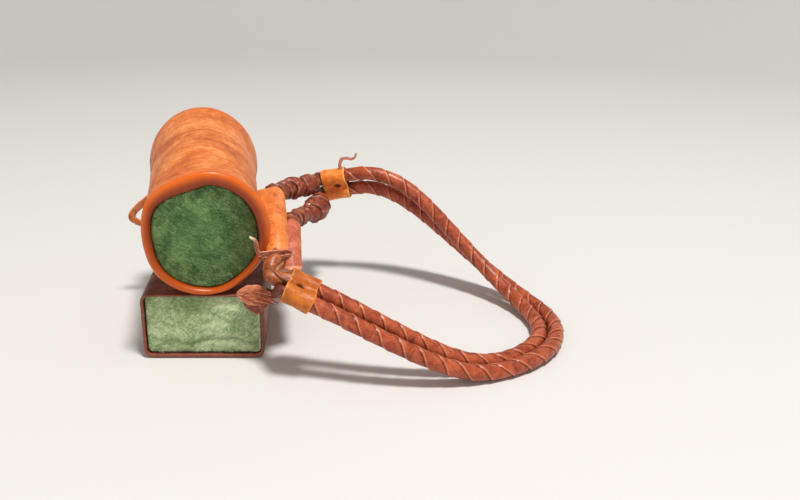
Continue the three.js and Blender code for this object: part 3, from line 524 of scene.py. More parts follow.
drum_suede = suede("dark_green_suede", "#223a1e", "#476a3c", "#98b475", -32.0, blotch=15.0)
for name, facing, seat in (("drum_front", 1, DRUM_SEAT - PANEL_SINK),
                           ("drum_back", -1, DRUM_LENGTH - DRUM_SEAT + PANEL_SINK)):
    width, pulled = (rim_inner, 0.0) if facing == 1 else (np.full(DRUM_SIDES, 5.4), 1.0)
    rings, napped, rim = panel(lambda deep: drum_outline(width + NAP_GAP + deep * (1 - (width - 5) / 41),
                                                         pulled), facing, seat, DRUM_PANEL_EDGE, DRUM_PUFF,
                               DRUM_PANEL_REACH, drum_lumps)
    x, z = rings[:, :, 0], rings[:, :, 2]
    # Painted shade towards the right edge and a painted pool of light near the middle.
    brown = np.clip((x - 10) / 26, 0, 1) * np.clip(1.1 - np.abs(z + 4) / 48, 0, 1) * 0.65
    bright = 0.4 * np.exp(-((x + 2) / 20) ** 2 - ((z - 2) / 18) ** 2)
    marks = {"nap": napped, "painted_shade": rim, "painted_right_shade": brown, "painted_middle_light": bright}
    cushion = skin(name + "_suede", placed(rings), drum_suede, marks)
    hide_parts(name + "_panel")
    for kind, density, length, thick, tone in (("_nap", 2.6e6, 1.0, 0.14, 0.55),
                                               ("_flecks", 0.5e6, 1.5, 0.22, 0.9)):
        grow(cushion, nap_tree, name + kind, "drum_green", Density=density, Length=length * MM,
             Radius=thick * MM, Tone=tone, Material=drum_suede, Lean=(-1.5, 0.0, -1.1))


# Side loop.
# Tan leather strip, bent to a point and sewn to the drum low on its left, near the back end.
def smooth(points, step):
    """Points every step mm along a smooth curve through the given points."""
    given = np.asarray(points, float)
    first, last = 2 * given[0] - given[1], 2 * given[-1] - given[-2]
    ends = np.vstack([first, given, last])
    line = []
    for a, b, c, d in zip(ends, ends[1:], ends[2:], ends[3:]):
        knots = np.cumsum([0] + [max(np.linalg.norm(q - p), 1e-6) ** 0.5 for p, q in ((a, b), (b, c), (c, d))])
        t = np.linspace(knots[1], knots[2], 24, endpoint=False)[:, None]
        ab = (knots[1] - t) / (knots[1] - knots[0]) * a + (t - knots[0]) / (knots[1] - knots[0]) * b
        bc = (knots[2] - t) / (knots[2] - knots[1]) * b + (t - knots[1]) / (knots[2] - knots[1]) * c
        cd = (knots[3] - t) / (knots[3] - knots[2]) * c + (t - knots[2]) / (knots[3] - knots[2]) * d
        abc = (knots[2] - t) / (knots[2] - knots[0]) * ab + (t - knots[0]) / (knots[2] - knots[0]) * bc
        bcd = (knots[3] - t) / (knots[3] - knots[1]) * bc + (t - knots[1]) / (knots[3] - knots[1]) * cd
        line.append((knots[2] - t) / (knots[2] - knots[1]) * abc + (t - knots[1]) / (knots[2] - knots[1]) * bcd)
    line = np.vstack(line + [given[-1:]])
    far = np.concatenate([[0], np.cumsum(np.linalg.norm(np.diff(line, axis=0), axis=1))])
    at = np.linspace(0, far[-1], max(2, int(round(far[-1] / step)) + 1))
    return np.stack([np.interp(at, far, line[:, k]) for k in range(3)], -1)


def guide(name, lines, radii):
    """Hidden curve with one spline for each line of points in mm, and a size at each point."""
    curve = bpy.data.curves.new(name, "CURVE")
    curve.dimensions = "3D"
    for line, sizes in zip(lines, radii):
        spline = curve.splines.new("POLY")
        spline.points.add(len(line) - 1)
        spline.points.foreach_set("co", np.hstack([line * MM, np.ones((len(line), 1))]).ravel())
        spline.points.foreach_set("radius", np.broadcast_to(sizes, len(line)).astype(float).ravel())
    holder = bpy.data.objects.new(name, curve)
    bpy.context.scene.collection.objects.link(holder)
    return holder


def drawn(tree, name, slot, lines, sizes, **values):
    """Piece that a tree draws along hidden guide lines."""
    holder = guide(name + "_guide", lines, sizes)
    piece = grow(holder, tree, name, slot, **values)
    bpy.data.objects.remove(holder)
    return piece


# Strip: a flat thong with rounded edges along a curve, its width along a given direction.
strip_tree, strip_in = group("leather_strip", Width="Float", Thickness="Float", Across="Vector",
                             Square="Float", Material="Material")
square = add(strip_tree, "ShaderNodeVectorMath",
             {0: strip_in["Across"], 1: add(strip_tree, "GeometryNodeInputTangent").outputs[0]},
             operation="CROSS_PRODUCT").outputs[0]
across = add(strip_tree, "ShaderNodeMix", {0: strip_in["Square"], 4: strip_in["Across"], 5: square},
             data_type="VECTOR").outputs[1]
flat_way = add(strip_tree, "GeometryNodeSetCurveNormal", {"Curve": strip_in["Geometry"], "Normal": across},
               mode="FREE")
section = add(strip_tree, "GeometryNodeCurvePrimitiveQuadrilateral",
              {"Width": strip_in["Width"], "Height": strip_in["Thickness"]})
corner = add(strip_tree, "ShaderNodeMath", {0: strip_in["Thickness"], 1: 0.42}, operation="MULTIPLY").outputs[0]
section = add(strip_tree, "GeometryNodeFilletCurve",
              {"Curve": section.outputs[0], "Count": 3, "Radius": corner}, mode="POLY")
side_of = add(strip_tree, "ShaderNodeSeparateXYZ",
              {0: add(strip_tree, "GeometryNodeInputPosition").outputs[0]}).outputs[0]
side_of = add(strip_tree, "ShaderNodeMath", {0: side_of, 1: strip_in["Width"]}, operation="DIVIDE").outputs[0]
side_of = add(strip_tree, "ShaderNodeMath", {0: side_of}, operation="ABSOLUTE").outputs[0]
lighter_edge = add(strip_tree, "ShaderNodeMapRange", {"Value": side_of, 1: 0.36, 2: 0.5, 3: 0.0, 4: 1.0}).outputs[0]
section = add(strip_tree, "GeometryNodeStoreNamedAttribute",
              {"Geometry": section.outputs[0], "Name": "edge", "Value": lighter_edge}, data_type="FLOAT",
              domain="POINT").outputs[0]
thong = add(strip_tree, "GeometryNodeCurveToMesh", {"Curve": flat_way.outputs[0], "Profile Curve": section,
            "Scale": add(strip_tree, "GeometryNodeInputRadius").outputs[0], "Fill Caps": True}).outputs[0]
rub = add(strip_tree, "ShaderNodeTexNoise", {"Scale": 1 / (4.0 * MM), "Detail": 2.0}).outputs["Fac"]
rub = add(strip_tree, "ShaderNodeMapRange",
          {"Value": rub, 1: 0.3, 2: 0.7, 3: -0.25 * MM, 4: 0.25 * MM}).outputs[0]
rub = add(strip_tree, "ShaderNodeVectorMath",
          {0: add(strip_tree, "GeometryNodeInputNormal").outputs[0], "Scale": rub},
          operation="SCALE").outputs[0]
thong = add(strip_tree, "GeometryNodeSetPosition", {"Geometry": thong, "Offset": rub}).outputs[0]
close(strip_tree, thong, strip_in["Material"])

tan_leather = leather("tan_strip", "#83401f", "#c06c3c", "#dc9662", cloud=10.0, rough=(0.4, 0.6))
DRUM_AXIS = placed([[0, 1, 0]])[0] - placed([[0, 0, 0]])[0]
LOOP_ALONG = 127.0
# Angle round the drum and height off its wall, from the upper foot over the drooping tip to the lower foot.
LOOP = [(201, -0.2), (201.5, 3), (203, 11), (205, 20), (207, 27), (209, 29.2), (212, 28), (217, 24),
        (223, 16.5), (228, 9), (231, 3), (231.5, -0.2)]
loop = []
for angle, lift in LOOP:
    a = math.radians(angle)
    foot = np.array([(DRUM_WIDTH / 2 - 0.6) * math.cos(a), 0, (DRUM_HEIGHT / 2 - 0.6) * math.sin(a)])
    loop.append(foot + foot / np.linalg.norm(foot) * lift + np.array([0, LOOP_ALONG, 0]))
side_loop = drawn(strip_tree, "side_loop_strip", "loop_leather", [smooth(placed(loop), 1.0)], [1.0],
                  Width=6.4 * MM, Thickness=2.3 * MM, Across=tuple(DRUM_AXIS), Square=1.0, Material=tan_leather)
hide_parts("side_loop")


# Upper sleeve.
# Orange leather rolled into a tube along the drum's right side, its seam a web against the wall. Its front
# end is drawn down like a hood where the thong ties it.
UPPER_BACK = 96.0
UPPER_RADIUS = 9.1
SLEEVE_SIDES = 72
around = np.arange(SLEEVE_SIDES) / SLEEVE_SIDES * 2 * math.pi


def upper_at(along):
    """Middle of the upper sleeve: it stands a little further off towards the back."""
    return np.array([53.9 + 0.043 * along, -11.8])


def sleeve(at, profile, web, slant, seed):
    """Rings of a leather tube from its front to its back mouth: place along, half width, half height, drop."""
    rings, away = [], []
    for along, wide, high, drop in profile:
        reach = web(along)
        x, z = at(along)
        round_it = np.stack([(wide + reach) * np.cos(around), np.zeros(SLEEVE_SIDES),
                             (high + reach) * np.sin(around)], -1)
        back = slant * np.clip(1 - along / 14, 0, 1) * (1 - np.sin(around)) / 2
        rings.append(round_it + np.stack([np.full(SLEEVE_SIDES, x), along + back,
                                          np.full(SLEEVE_SIDES, z - drop)], -1))
        away.append(round_it / np.linalg.norm(round_it, axis=1)[:, None])
    rings = np.array(rings)
    dents = 0.55 * ripple(rings * np.array([1, 0.5, 1]), 8.0, seed) + 0.2 * ripple(rings, 3.5, seed + 1)
    return rings + np.array(away) * dents[:, :, None]


def upper_web(along):
    """Extra reach of the seam towards the drum's wall."""
    room = 0.3 + float(waist(min(max(along, 0), DRUM_LENGTH))) + 0.043 * max(along, 0)
    aim = np.angle(np.exp(1j * (around - math.radians(166))))
    return room * np.exp(-(aim / math.radians(26)) ** 2) * float(np.clip((along - 6) / 8, 0, 1))


profile = [(2.0, 5.2, 2.4, 6.6), (-4.0, 5.4, 2.6, 6.4), (-6.2, 5.9, 3.0, 6.2), (-6.9, 6.6, 3.7, 6.0),
           (-6.3, 7.3, 4.4, 5.8), (-4.6, 7.8, 5.2, 5.4), (-2.2, 8.1, 6.0, 4.8), (0.0, 8.3, 6.6, 4.2),
           (2.2, 8.6, 7.2, 3.4), (4.6, 8.8, 7.8, 2.4), (7.4, 9.0, 8.3, 1.4), (10.6, 9.1, 8.8, 0.6),
           (14.5, 9.1, 9.0, 0.2)]
profile += [(a, UPPER_RADIUS, UPPER_RADIUS, 0.0) for a in np.linspace(18, UPPER_BACK - 5, 60)]
profile += [(UPPER_BACK - 2.2, 9.0, 9.0, 0.0), (UPPER_BACK - 0.7, 8.5, 8.5, 0.0), (UPPER_BACK, 7.6, 7.6, 0.0),
            (UPPER_BACK - 0.8, 6.9, 6.9, 0.0), (UPPER_BACK - 9.0, 6.7, 6.7, 0.0)]
orange_leather = leather("orange_sleeve_hide", "#a84c1c", "#e07a34", "#faa862", cloud=13.0, rough=(0.38, 0.55),
                         bump=0.4)
rings = sleeve(upper_at, profile, upper_web, 0.0, 21)
# Painted shade inside both mouths and in the hood's fold; the back mouth's edge is lighter.
inside = np.array([float(row < 2 or row >= len(profile) - 2) for row in range(len(profile))])
folds = np.array([0.35 if -7 < along < -5 else 0.0 for along, wide, high, drop in profile])
marks = {"painted_shade": np.outer(0.85 * inside + folds, np.ones(SLEEVE_SIDES)),
         "edge": np.outer([0.6 * (along > UPPER_BACK - 1.5 and wide > 7) for along, wide, high,
                           drop in profile], np.ones(SLEEVE_SIDES))}
upper_sleeve = skin("upper_sleeve_hide", placed(rings), orange_leather, marks)
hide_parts("upper_sleeve")


# Lower sleeve.
# Pinkish brown leather rolled into a shorter tube outside the upper one. Its front mouth is flared and cut
# on the slant, and its back is drawn in.
LOWER_BACK = 61.0
LOWER_FRONT = -1.0


def lower_at(along):
    """Middle of the lower sleeve: it stands further off and higher towards the back."""
    return np.array([65.0 + 0.076 * along, -26.0 + 0.025 * along])


profile = [(8.0, 6.0, 2.6, 7.6), (1.6, 6.4, 2.3, 9.6), (-0.4, 6.9, 2.5, 10.2), (-1.0, 7.5, 3.0, 10.3),
           (-0.7, 8.1, 3.6, 10.2), (0.4, 8.4, 4.2, 9.8), (2.4, 8.3, 4.9, 9.0), (5.0, 8.1, 5.7, 7.8)]
profile += [(a, 7.8 + 0.12 * math.sin(a / 9), 7.8 - 1.4 * max(0.0, (20 - a) / 12),
             6.4 * max(0.0, (31 - a) / 23) ** 2) for a in np.linspace(8, LOWER_BACK - 7, 45)]
profile += [(LOWER_BACK - 4.0, 7.6, 7.6, 0.0), (LOWER_BACK - 1.8, 7.1, 7.1, 0.0),
            (LOWER_BACK - 0.4, 6.2, 6.2, 0.0), (LOWER_BACK, 5.4, 5.4, 0.0), (LOWER_BACK - 0.6, 5.0, 5.0, 0.0),
            (LOWER_BACK - 8.0, 4.9, 4.9, 0.0)]
pink_leather = leather("pinkish_brown_hide", "#843b26", "#c06344", "#de916c", cloud=12.0, rough=(0.4, 0.6),
                       bump=0.4)
rings = sleeve(lower_at, profile, lambda along: 0.0, 15.0, 31)
# Painted shade inside both mouths; the front lip is lighter along its edge.
inside = np.array([float(row < 2 or row >= len(profile) - 2) for row in range(len(profile))])
marks = {"painted_shade": np.outer(0.9 * inside, np.ones(SLEEVE_SIDES)),
         "edge": np.outer([0.9 * (along < 1.0 and wide > 6) for along, wide, high, drop in profile],
                          np.ones(SLEEVE_SIDES))}
lower_sleeve = skin("lower_sleeve_hide", placed(rings), pink_leather, marks)
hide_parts("lower_sleeve")


# Strap cords.
# Two cords, each a round core wrapped in a spiral by one flat red-brown strip whose edges stand up a
# little. They leave the near collar, come down to the ground, bend round and rise to the far collar.
CORD_DIAMETER = 12.0
CORD_SPACING = 15.0
WRAP_PITCH, WRAP_RELIEF = 17.2, 0.9
END_GAP = 0.15
NEAR_AT, NEAR_AXIS, NEAR_STACK = (76.5, -80.5, 70.0), (0.9, -0.11, -0.42), (0.0, -0.92, -0.4)
FAR_AT, FAR_AXIS, FAR_STACK = (105.5, 118.0, 91.0), (0.95, -0.18, 0.22), (0.17, 0.27, -0.95)
INNER_ROUTE = [(104, -76.8, 60.4), (120, -79, 52.4), (137, -80.6, 43.4), (154, -81.4, 34.2),
               (171, -81.2, 25.2), (188, -79.8, 17), (204.4, -76.6, 10.8), (220.4, -71.2, 7.4),
               (235.8, -63.2, 6.4), (249.4, -52.4, 6.4), (260.4, -39, 6.4), (267.8, -23.4, 6.4),
               (270.8, -6.4, 6.4), (269.4, 10.8, 6.8), (264.4, 27.2, 9.2), (256.8, 42, 14), (247.4, 54.6, 21),
               (236.8, 65.2, 30.2), (225.2, 74, 41), (213.2, 81.4, 52.8), (201, 87.8, 65), (188.6, 93.4, 77),
               (175.8, 98.4, 87.8), (162.4, 102.8, 96.4), (148.2, 106.6, 101.8), (133.2, 110, 103.6)]
OUTER_ROUTE = [(104, -91.4, 54.4), (120, -93.8, 46.6), (137, -95.4, 38), (154, -96, 29.4), (171, -95.4, 21),
               (188, -93.6, 13.8), (205, -90.2, 8.6), (222, -84.6, 6.4), (239, -76.4, 6.4),
               (254.6, -65.2, 6.4), (268, -51, 6.4), (277.8, -34.4, 6.4), (283.4, -16, 6.4), (284.4, 3.2, 6.4),
               (281, 22.2, 6.4), (273.8, 40, 7.4), (263.8, 55.8, 11), (251.8, 69.4, 17.2), (238.6, 80.8, 25.6),
               (224.8, 90.2, 35.6), (210.6, 98, 46.6), (196.2, 104.2, 57.8), (181.6, 109, 68.6),
               (166.8, 112.6, 78), (151.8, 115, 84.8), (136.6, 116.4, 88.2)]


def collar_frame(at, axis, stack):
    """Middle of a collar, its axis, the way from its second to its first cord, and the way across."""
    forward = np.array(axis) / np.linalg.norm(axis)
    down = np.array(stack) - np.dot(stack, forward) * forward
    up = -down / np.linalg.norm(down)
    return np.array(at), forward, up, np.cross(up, forward)


def on_axis(collar, which, along):
    """Point on the first (1) or second (-1) cord's axis in a collar."""
    at, forward, up, across = collar
    return at + which * CORD_SPACING / 2 * up + along * forward


# Wrapped cord: a tube whose surface steps up at the edge of each turn of the strip.
wrap_tree, wrap_in = group("wrapped_cord", Pitch="Float", Relief="Float", Turns="Float", Stray="Float",
                           Rub="Float", Crumple="Float", Sides="Int", Material="Material")
way = add(wrap_tree, "GeometryNodeSplineParameter")
line = add(wrap_tree, "GeometryNodeStoreNamedAttribute", {"Geometry": wrap_in["Geometry"], "Name": "along",
           "Value": way.outputs["Length"]}, data_type="FLOAT", domain="POINT").outputs[0]
circle = add(wrap_tree, "GeometryNodeCurvePrimitiveCircle",
             {"Resolution": wrap_in["Sides"], "Radius": MM}).outputs[0]
circle = add(wrap_tree, "GeometryNodeStoreNamedAttribute", {"Geometry": circle, "Name": "around",
             "Value": way.outputs["Factor"]}, data_type="FLOAT", domain="POINT").outputs[0]
tube = add(wrap_tree, "GeometryNodeCurveToMesh", {"Curve": line, "Profile Curve": circle,
           "Scale": add(wrap_tree, "GeometryNodeInputRadius").outputs[0], "Fill Caps": True}).outputs[0]
along_it = add(wrap_tree, "GeometryNodeInputNamedAttribute", {"Name": "along"}, data_type="FLOAT").outputs[0]
around_it = add(wrap_tree, "GeometryNodeInputNamedAttribute", {"Name": "around"}, data_type="FLOAT").outputs[0]
uneven = add(wrap_tree, "ShaderNodeTexNoise", {"Scale": 1 / (22.0 * MM), "Detail": 1.0}).outputs["Fac"]
uneven = add(wrap_tree, "ShaderNodeMath", {0: uneven, 1: wrap_in["Stray"]}, operation="MULTIPLY").outputs[0]
phase = add(wrap_tree, "ShaderNodeMath", {0: along_it, 1: wrap_in["Pitch"]}, operation="DIVIDE").outputs[0]
phase = add(wrap_tree, "ShaderNodeMath", {0: around_it, 1: wrap_in["Turns"], 2: phase},
            operation="MULTIPLY_ADD").outputs[0]
phase = add(wrap_tree, "ShaderNodeMath", {0: phase, 1: uneven}, operation="ADD").outputs[0]
phase = add(wrap_tree, "ShaderNodeMath", {0: phase}, operation="FRACT").outputs[0]


def shaped(tree, value, points):
    """Value sent through a curve of given points."""
    made = add(tree, "ShaderNodeFloatCurve", {"Value": value})
    curve = made.mapping.curves[0]
    curve.points[0].location, curve.points[1].location = points[0], points[-1]
    for x, y in points[1:-1]:
        curve.points.new(x, y)
    made.mapping.update()
    return made.outputs[0]


step_up = shaped(wrap_tree, phase, [(0, 0.0), (0.03, 0.25), (0.07, 0.95), (0.13, 1.0), (0.3, 0.72), (0.6, 0.6),
                                    (0.9, 0.3), (1, 0.0)])
fold = add(wrap_tree, "ShaderNodeMath", {0: step_up, 1: wrap_in["Relief"]}, operation="MULTIPLY").outputs[0]
fold = add(wrap_tree, "ShaderNodeVectorMath",
           {0: add(wrap_tree, "GeometryNodeInputNormal").outputs[0], "Scale": fold},
           operation="SCALE").outputs[0]
# Each turn's edge is lighter, partly wear and partly painted highlight, and the foot of each step gets painted
# shade.
wear_and_highlight_edge = shaped(wrap_tree, phase, [(0, 0.0), (0.045, 0.0), (0.075, 0.9), (0.115, 0.8), (0.17, 0.0),
                                       (1, 0.0)])
wear_and_highlight_edge = add(wrap_tree, "ShaderNodeMath", {0: wear_and_highlight_edge, 1: wrap_in["Rub"]},
                 operation="MULTIPLY").outputs[0]
painted_step_shade = shaped(wrap_tree, phase, [(0, 0.9), (0.03, 0.75), (0.06, 0.0), (0.9, 0.0), (0.97, 0.5), (1, 0.9)])
tube = add(wrap_tree, "GeometryNodeStoreNamedAttribute",
           {"Geometry": tube, "Name": "edge", "Value": wear_and_highlight_edge}, data_type="FLOAT",
           domain="POINT").outputs[0]
tube = add(wrap_tree, "GeometryNodeStoreNamedAttribute",
           {"Geometry": tube, "Name": "painted_shade", "Value": painted_step_shade}, data_type="FLOAT",
           domain="POINT").outputs[0]
tube = add(wrap_tree, "GeometryNodeSetPosition", {"Geometry": tube, "Offset": fold}).outputs[0]
lump = add(wrap_tree, "ShaderNodeTexNoise",
           {"Scale": 1 / (9.0 * MM), "Detail": 2.0, "Distortion": 1.2}).outputs["Fac"]
lump = add(wrap_tree, "ShaderNodeMath", {0: lump, 1: 0.5}, operation="SUBTRACT").outputs[0]
lump = add(wrap_tree, "ShaderNodeMath", {0: lump, 1: wrap_in["Crumple"]}, operation="MULTIPLY").outputs[0]
lump = add(wrap_tree, "ShaderNodeVectorMath",
           {0: add(wrap_tree, "GeometryNodeInputNormal").outputs[0], "Scale": lump},
           operation="SCALE").outputs[0]
tube = add(wrap_tree, "GeometryNodeSetPosition", {"Geometry": tube, "Offset": lump}).outputs[0]
close(wrap_tree, tube, wrap_in["Material"])

near, far = collar_frame(NEAR_AT, NEAR_AXIS, NEAR_STACK), collar_frame(FAR_AT, FAR_AXIS, FAR_STACK)
cord_leather = leather("red_brown_strip", "#5e2012", "#a3472a", "#c66c42", cloud=9.0, grain=0.8,
                       rough=(0.26, 0.44), bump=0.3)
for name, which, route, length in (("strap_cord_inner", 1, INNER_ROUTE, 0.5009),
                                   ("strap_cord_outer", -1, OUTER_ROUTE, 0.5311)):
    path = smooth([on_axis(near, which, END_GAP), on_axis(near, which, 15), *route, on_axis(far, which, 15),
                   on_axis(far, which, END_GAP)], 0.8)
    cord = drawn(wrap_tree, name + "_wrap", "cord_leather", [path], [CORD_DIAMETER / 2 - WRAP_RELIEF / 2],
                 Pitch=WRAP_PITCH * MM, Relief=WRAP_RELIEF * MM, Turns=-2.0, Stray=0.3, Rub=0.9, Sides=44,
                 Material=cord_leather)
    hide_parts(name)


# Collars.
# Yellow-orange leather band round both cords at each end of the strap, pinched between them and
# slit at the pinch.
COLLAR_HALF = 11.0
COLLAR_SIDES = 120


def collar_outline(radius):
    """Outline round both cords, drawn in between them: across, and up."""
    waist_turn = math.radians(40)
    arc, side = COLLAR_SIDES // 2 - COLLAR_SIDES // 10, COLLAR_SIDES // 10
    sweep = np.linspace(-waist_turn, math.pi + waist_turn, arc, endpoint=False)
    top = np.stack([radius * np.cos(sweep), CORD_SPACING / 2 + radius * np.sin(sweep)], -1)
    low = CORD_SPACING / 2 - radius * math.sin(waist_turn)
    pinch = np.stack([np.full(side, -radius * math.cos(waist_turn)),
                      np.linspace(low, -low, side, endpoint=False)], -1)
    return np.vstack([top, pinch, -top, -pinch])


# The near band is a darker copy and the far band a lighter copy of one leather: painted shade and painted
# light.
near_collar_shaded_copy = leather("yellow_orange_band", "#883b0e", "#b85d15", "#d8802c", cloud=11.0, grain=1.1,
                         rough=(0.36, 0.54), bump=0.45)
far_collar_lit_copy = leather("lit_orange_band_copy", "#b8541a", "#ee8430", "#ffae58", cloud=11.0, grain=1.1,
                             rough=(0.36, 0.54), bump=0.45)
for name, collar, seed, pucker, slit_at, material in (("near_collar", near, 41, 1.0, -2.0, near_collar_shaded_copy),
                                                      ("far_collar", far, 43, 0.7, 1.5, far_collar_lit_copy)):
    at, forward, up, across = collar
    profile = [(-8.5, 6.35), (-10.6, 6.4), (-11.2, 6.9), (-11.2, 7.6), (-10.7, 8.1), (-9.8, 8.25)]
    profile += [(z, 8.2 - 0.5 * pucker * math.cos(z / COLLAR_HALF * math.pi / 2) ** 2)
                for z in np.linspace(-9, 9, 30)]
    profile += [(9.8, 8.25), (10.7, 8.1), (11.2, 7.6), (11.2, 6.9), (10.6, 6.4), (8.5, 6.35)]
    rings, painted_slit_shade = [], []
    for z, radius in profile:
        line = collar_outline(radius)
        away = line / np.maximum(np.linalg.norm(line, axis=1), 1e-6)[:, None]
        flat = np.stack([line[:, 0], np.full(COLLAR_SIDES, z), line[:, 1]], -1)
        crumple = pucker * 0.5 * ripple(flat * np.array([1, 0.4, 1]), 5.0, seed)
        crumple = crumple + 0.15 * ripple(flat, 2.5, seed + 1)
        line = line + away * (crumple * float(radius > 7))[:, None]
        pinch = 0.36 * np.exp(-(line[:, 1] / 3.6) ** 2) * (0.35 + 0.65 * math.cos(z / 12 * math.pi / 2))
        line[:, 0] *= 1 - pinch * float(radius > 7)
        notch = np.clip(1 - np.abs(line[:, 1]) / 2.6 - abs(z - slit_at) / 4.5, 0, 1) * (line[:, 0] < 0)
        line[:, 0] += 2.0 * np.minimum(notch * 2.2, 1)
        bow = 0.7 * pucker * np.sin(np.arange(COLLAR_SIDES) / COLLAR_SIDES * 6 * math.pi
                                    + seed) * abs(z) / COLLAR_HALF
        rings.append(at + np.outer(line[:, 0], across) + np.outer(line[:, 1], up)
                     + np.outer(z + bow * np.sign(z) * 0.6, forward))
        # Painted shade in the slit and inside the band at its ends.
        painted_slit_shade.append(np.clip(notch * 3, 0, 0.95) + (0.8 if radius < 6.6 else 0.0))
    rubbed = [np.full(COLLAR_SIDES, 0.6 if abs(z) > 10 and 6.6 < radius else 0.0) for z, radius in profile]
    band = skin(name + "_band", rings, material, {"painted_shade": painted_slit_shade, "edge": rubbed})
    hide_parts(name)


# Wrapped ends.
# Ends of the lanyards that run through the sleeves: dark red-brown strip wound over itself in uneven
# lumps, from each sleeve's mouth into a collar.
knot_leather = leather("dark_wrapped_strip", "#431810", "#8a3d28", "#bd7653", cloud=7.0, grain=0.8,
                       rough=(0.26, 0.44), bump=0.4)


def lumpy(count, start, finish, lumps):
    """Sizes along a wrapped end, with swellings at (place, spread, height)."""
    t = np.linspace(0, 1, count)
    return start + (finish - start) * t + sum(high * np.exp(-((t - at) / spread) ** 2) for at, spread,
                                              high in lumps)


TUCK = 2.2
UPPER_FRONT_END = placed([(upper_at(-7)[0] - 1.0, -6.0, upper_at(-7)[1] - 6.2)])[0]
UPPER_BACK_END = placed([(upper_at(UPPER_BACK)[0], UPPER_BACK + TUCK, upper_at(UPPER_BACK)[1])])[0]
LOWER_BACK_END = placed([(lower_at(LOWER_BACK)[0], LOWER_BACK + TUCK, lower_at(LOWER_BACK)[1])])[0]
LOWER_FRONT_END = placed([(lower_at(LOWER_FRONT)[0], LOWER_FRONT + 9.0, lower_at(LOWER_FRONT)[1] - 7.6)])[0]
tan_wrap = leather("tan_wrapped_strip", "#4e1f0e", "#9c4e25", "#cc8450", cloud=7.0, grain=0.8,
                   rough=(0.32, 0.5), bump=0.4)
# Each end: the CAD pieces that it is, where it leaves its sleeve and which way, how far it runs in and out
# there, the points on its way, its collar and cord, its places in the collar, its size at both ends and its
# lumps, how crumpled it is and how its strip is wound.
BACK_WRAP = dict(Pitch=15.0 * MM, Relief=1.8 * MM, Turns=-1.0, Stray=1.1, Material=knot_leather)
LOOPED_WRAP = dict(Pitch=24.0 * MM, Relief=2.2 * MM, Turns=-3.0, Stray=0.5, Material=tan_wrap)
ends = [
    (("back_knot_upper", "upper_lanyard"), UPPER_BACK_END, DRUM_AXIS, 9.0, 5.0,
     [(57, 68, 99.5), (63, 86, 96.5), (77, 100, 94.5)], far, 1, (-15, -5.5), 5.9, 5.0,
     [(0.36, 0.06, 1.8), (0.52, 0.07, 3.6), (0.68, 0.06, 3.2)], 4.6, BACK_WRAP),
    (("back_knot_lower", "lower_lanyard"), LOWER_BACK_END, DRUM_AXIS, 9.0, 5.0,
     [(68, 40, 82), (74, 66, 77.5), (87, 93, 75)], far, -1, (-15, -5.5), 4.2, 5.0,
     [(0.24, 0.06, 1.6), (0.4, 0.06, 2.6), (0.68, 0.11, 5.8)], 5.2, BACK_WRAP),
    (("front_knot_upper",), UPPER_FRONT_END, -DRUM_AXIS, 4.0, 2.0,
     [(55.5, -66.5, 82.5), (56.0, -70.0, 78.5), (60.0, -72.0, 76.5)], near, 1, (-5.5,), 4.0, 4.0,
     [(0.36, 0.2, 1.0)], 0.8, LOOPED_WRAP),
]
for nodes, start, outward, run_in, run_out, via, collar, which, entry, size, last, lumps, crumple, wrap in ends:
    path = smooth([start - outward * run_in, start - outward * 2, start + outward * run_out, *via,
                   *(on_axis(collar, which, along) for along in (*entry, -END_GAP))], 0.7)
    piece = drawn(wrap_tree, nodes[0] + "_wrap", "knot_leather", [path], [lumpy(len(path), size, last, lumps)],
                  Rub=0.4, Crumple=crumple * MM, Sides=48, **wrap)
    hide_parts(*nodes)

path = smooth([LOWER_FRONT_END - DRUM_AXIS * along for along in (-6, 0, 4, 7)], 0.5)
stopper = drawn(wrap_tree, "front_knot_lower_wrap", "knot_leather", [path],
                [lumpy(len(path), 2.0, 1.6, [(0.72, 0.16, 0.4)])], Pitch=4.5 * MM, Relief=0.7 * MM, Turns=-1.0,
                Stray=0.8, Rub=0.4, Sides=32, Material=knot_leather)
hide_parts("front_knot_lower")


# Thongs.
# Thin brown strips: the near one is tied round the upper sleeve's front and ends in a pale tip over the
# rim, the far one is a short curled end that stands out of the far collar.
thong_leather = leather("brown_thong", "#562318", "#964c34", "#c4805e", cloud=6.0, grain=0.7,
                        rough=(0.38, 0.58))
tint(thong_leather, "tip", "#e8d6b0")
# Two turns round the hood, across its front at the height of the tie, then the free end up over the rim.
knot = [(62.5, -2.0, -20.5), (62.4, -6.5, -17.2), (60.0, -10.0, -16.0), (55, -10.8, -16.4), (48, -11.0, -16.8),
        (43.2, -9.8, -17.4), (41.4, -6.0, -18.4), (44, -1.5, -22.0), (52, 0.5, -25.0), (60, -1.5, -22.5),
        (63.2, -5.5, -15.4), (60.8, -9.4, -12.4), (55, -10.4, -12.0), (49, -10.6, -12.4), (43.5, -10.2, -13.2),
        (40.0, -9.8, -13.2), (38.5, -9.6, -10.2), (38.2, -9.4, -5.0), (36.9, -9.2, -2.4), (34.8, -9.0, -1.2),
        (33.6, -8.8, 0.2)]
path = smooth(placed(knot), 0.7)
count = np.arange(len(path)) / (len(path) - 1)
near_thong = drawn(strip_tree, "near_thong_strip", "thong_leather", [path],
                   [np.interp(count, [0, 0.94, 1], [1, 1, 0.35])], Width=3.1 * MM, Thickness=1.7 * MM,
                   Across=tuple(DRUM_AXIS), Square=1.0, Material=thong_leather)
spots = np.empty(len(near_thong.data.vertices) * 3, np.float32)
near_thong.data.vertices.foreach_get("co", spots)
from_tip = np.linalg.norm(spots.reshape(-1, 3) / MM - path[-1], axis=1)
tip = near_thong.data.attributes.new("tip", "FLOAT", "POINT")
tip.data.foreach_set("value", np.clip(1.4 - from_tip / 4, 0, 1).astype(np.float32))
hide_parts("near_thong")

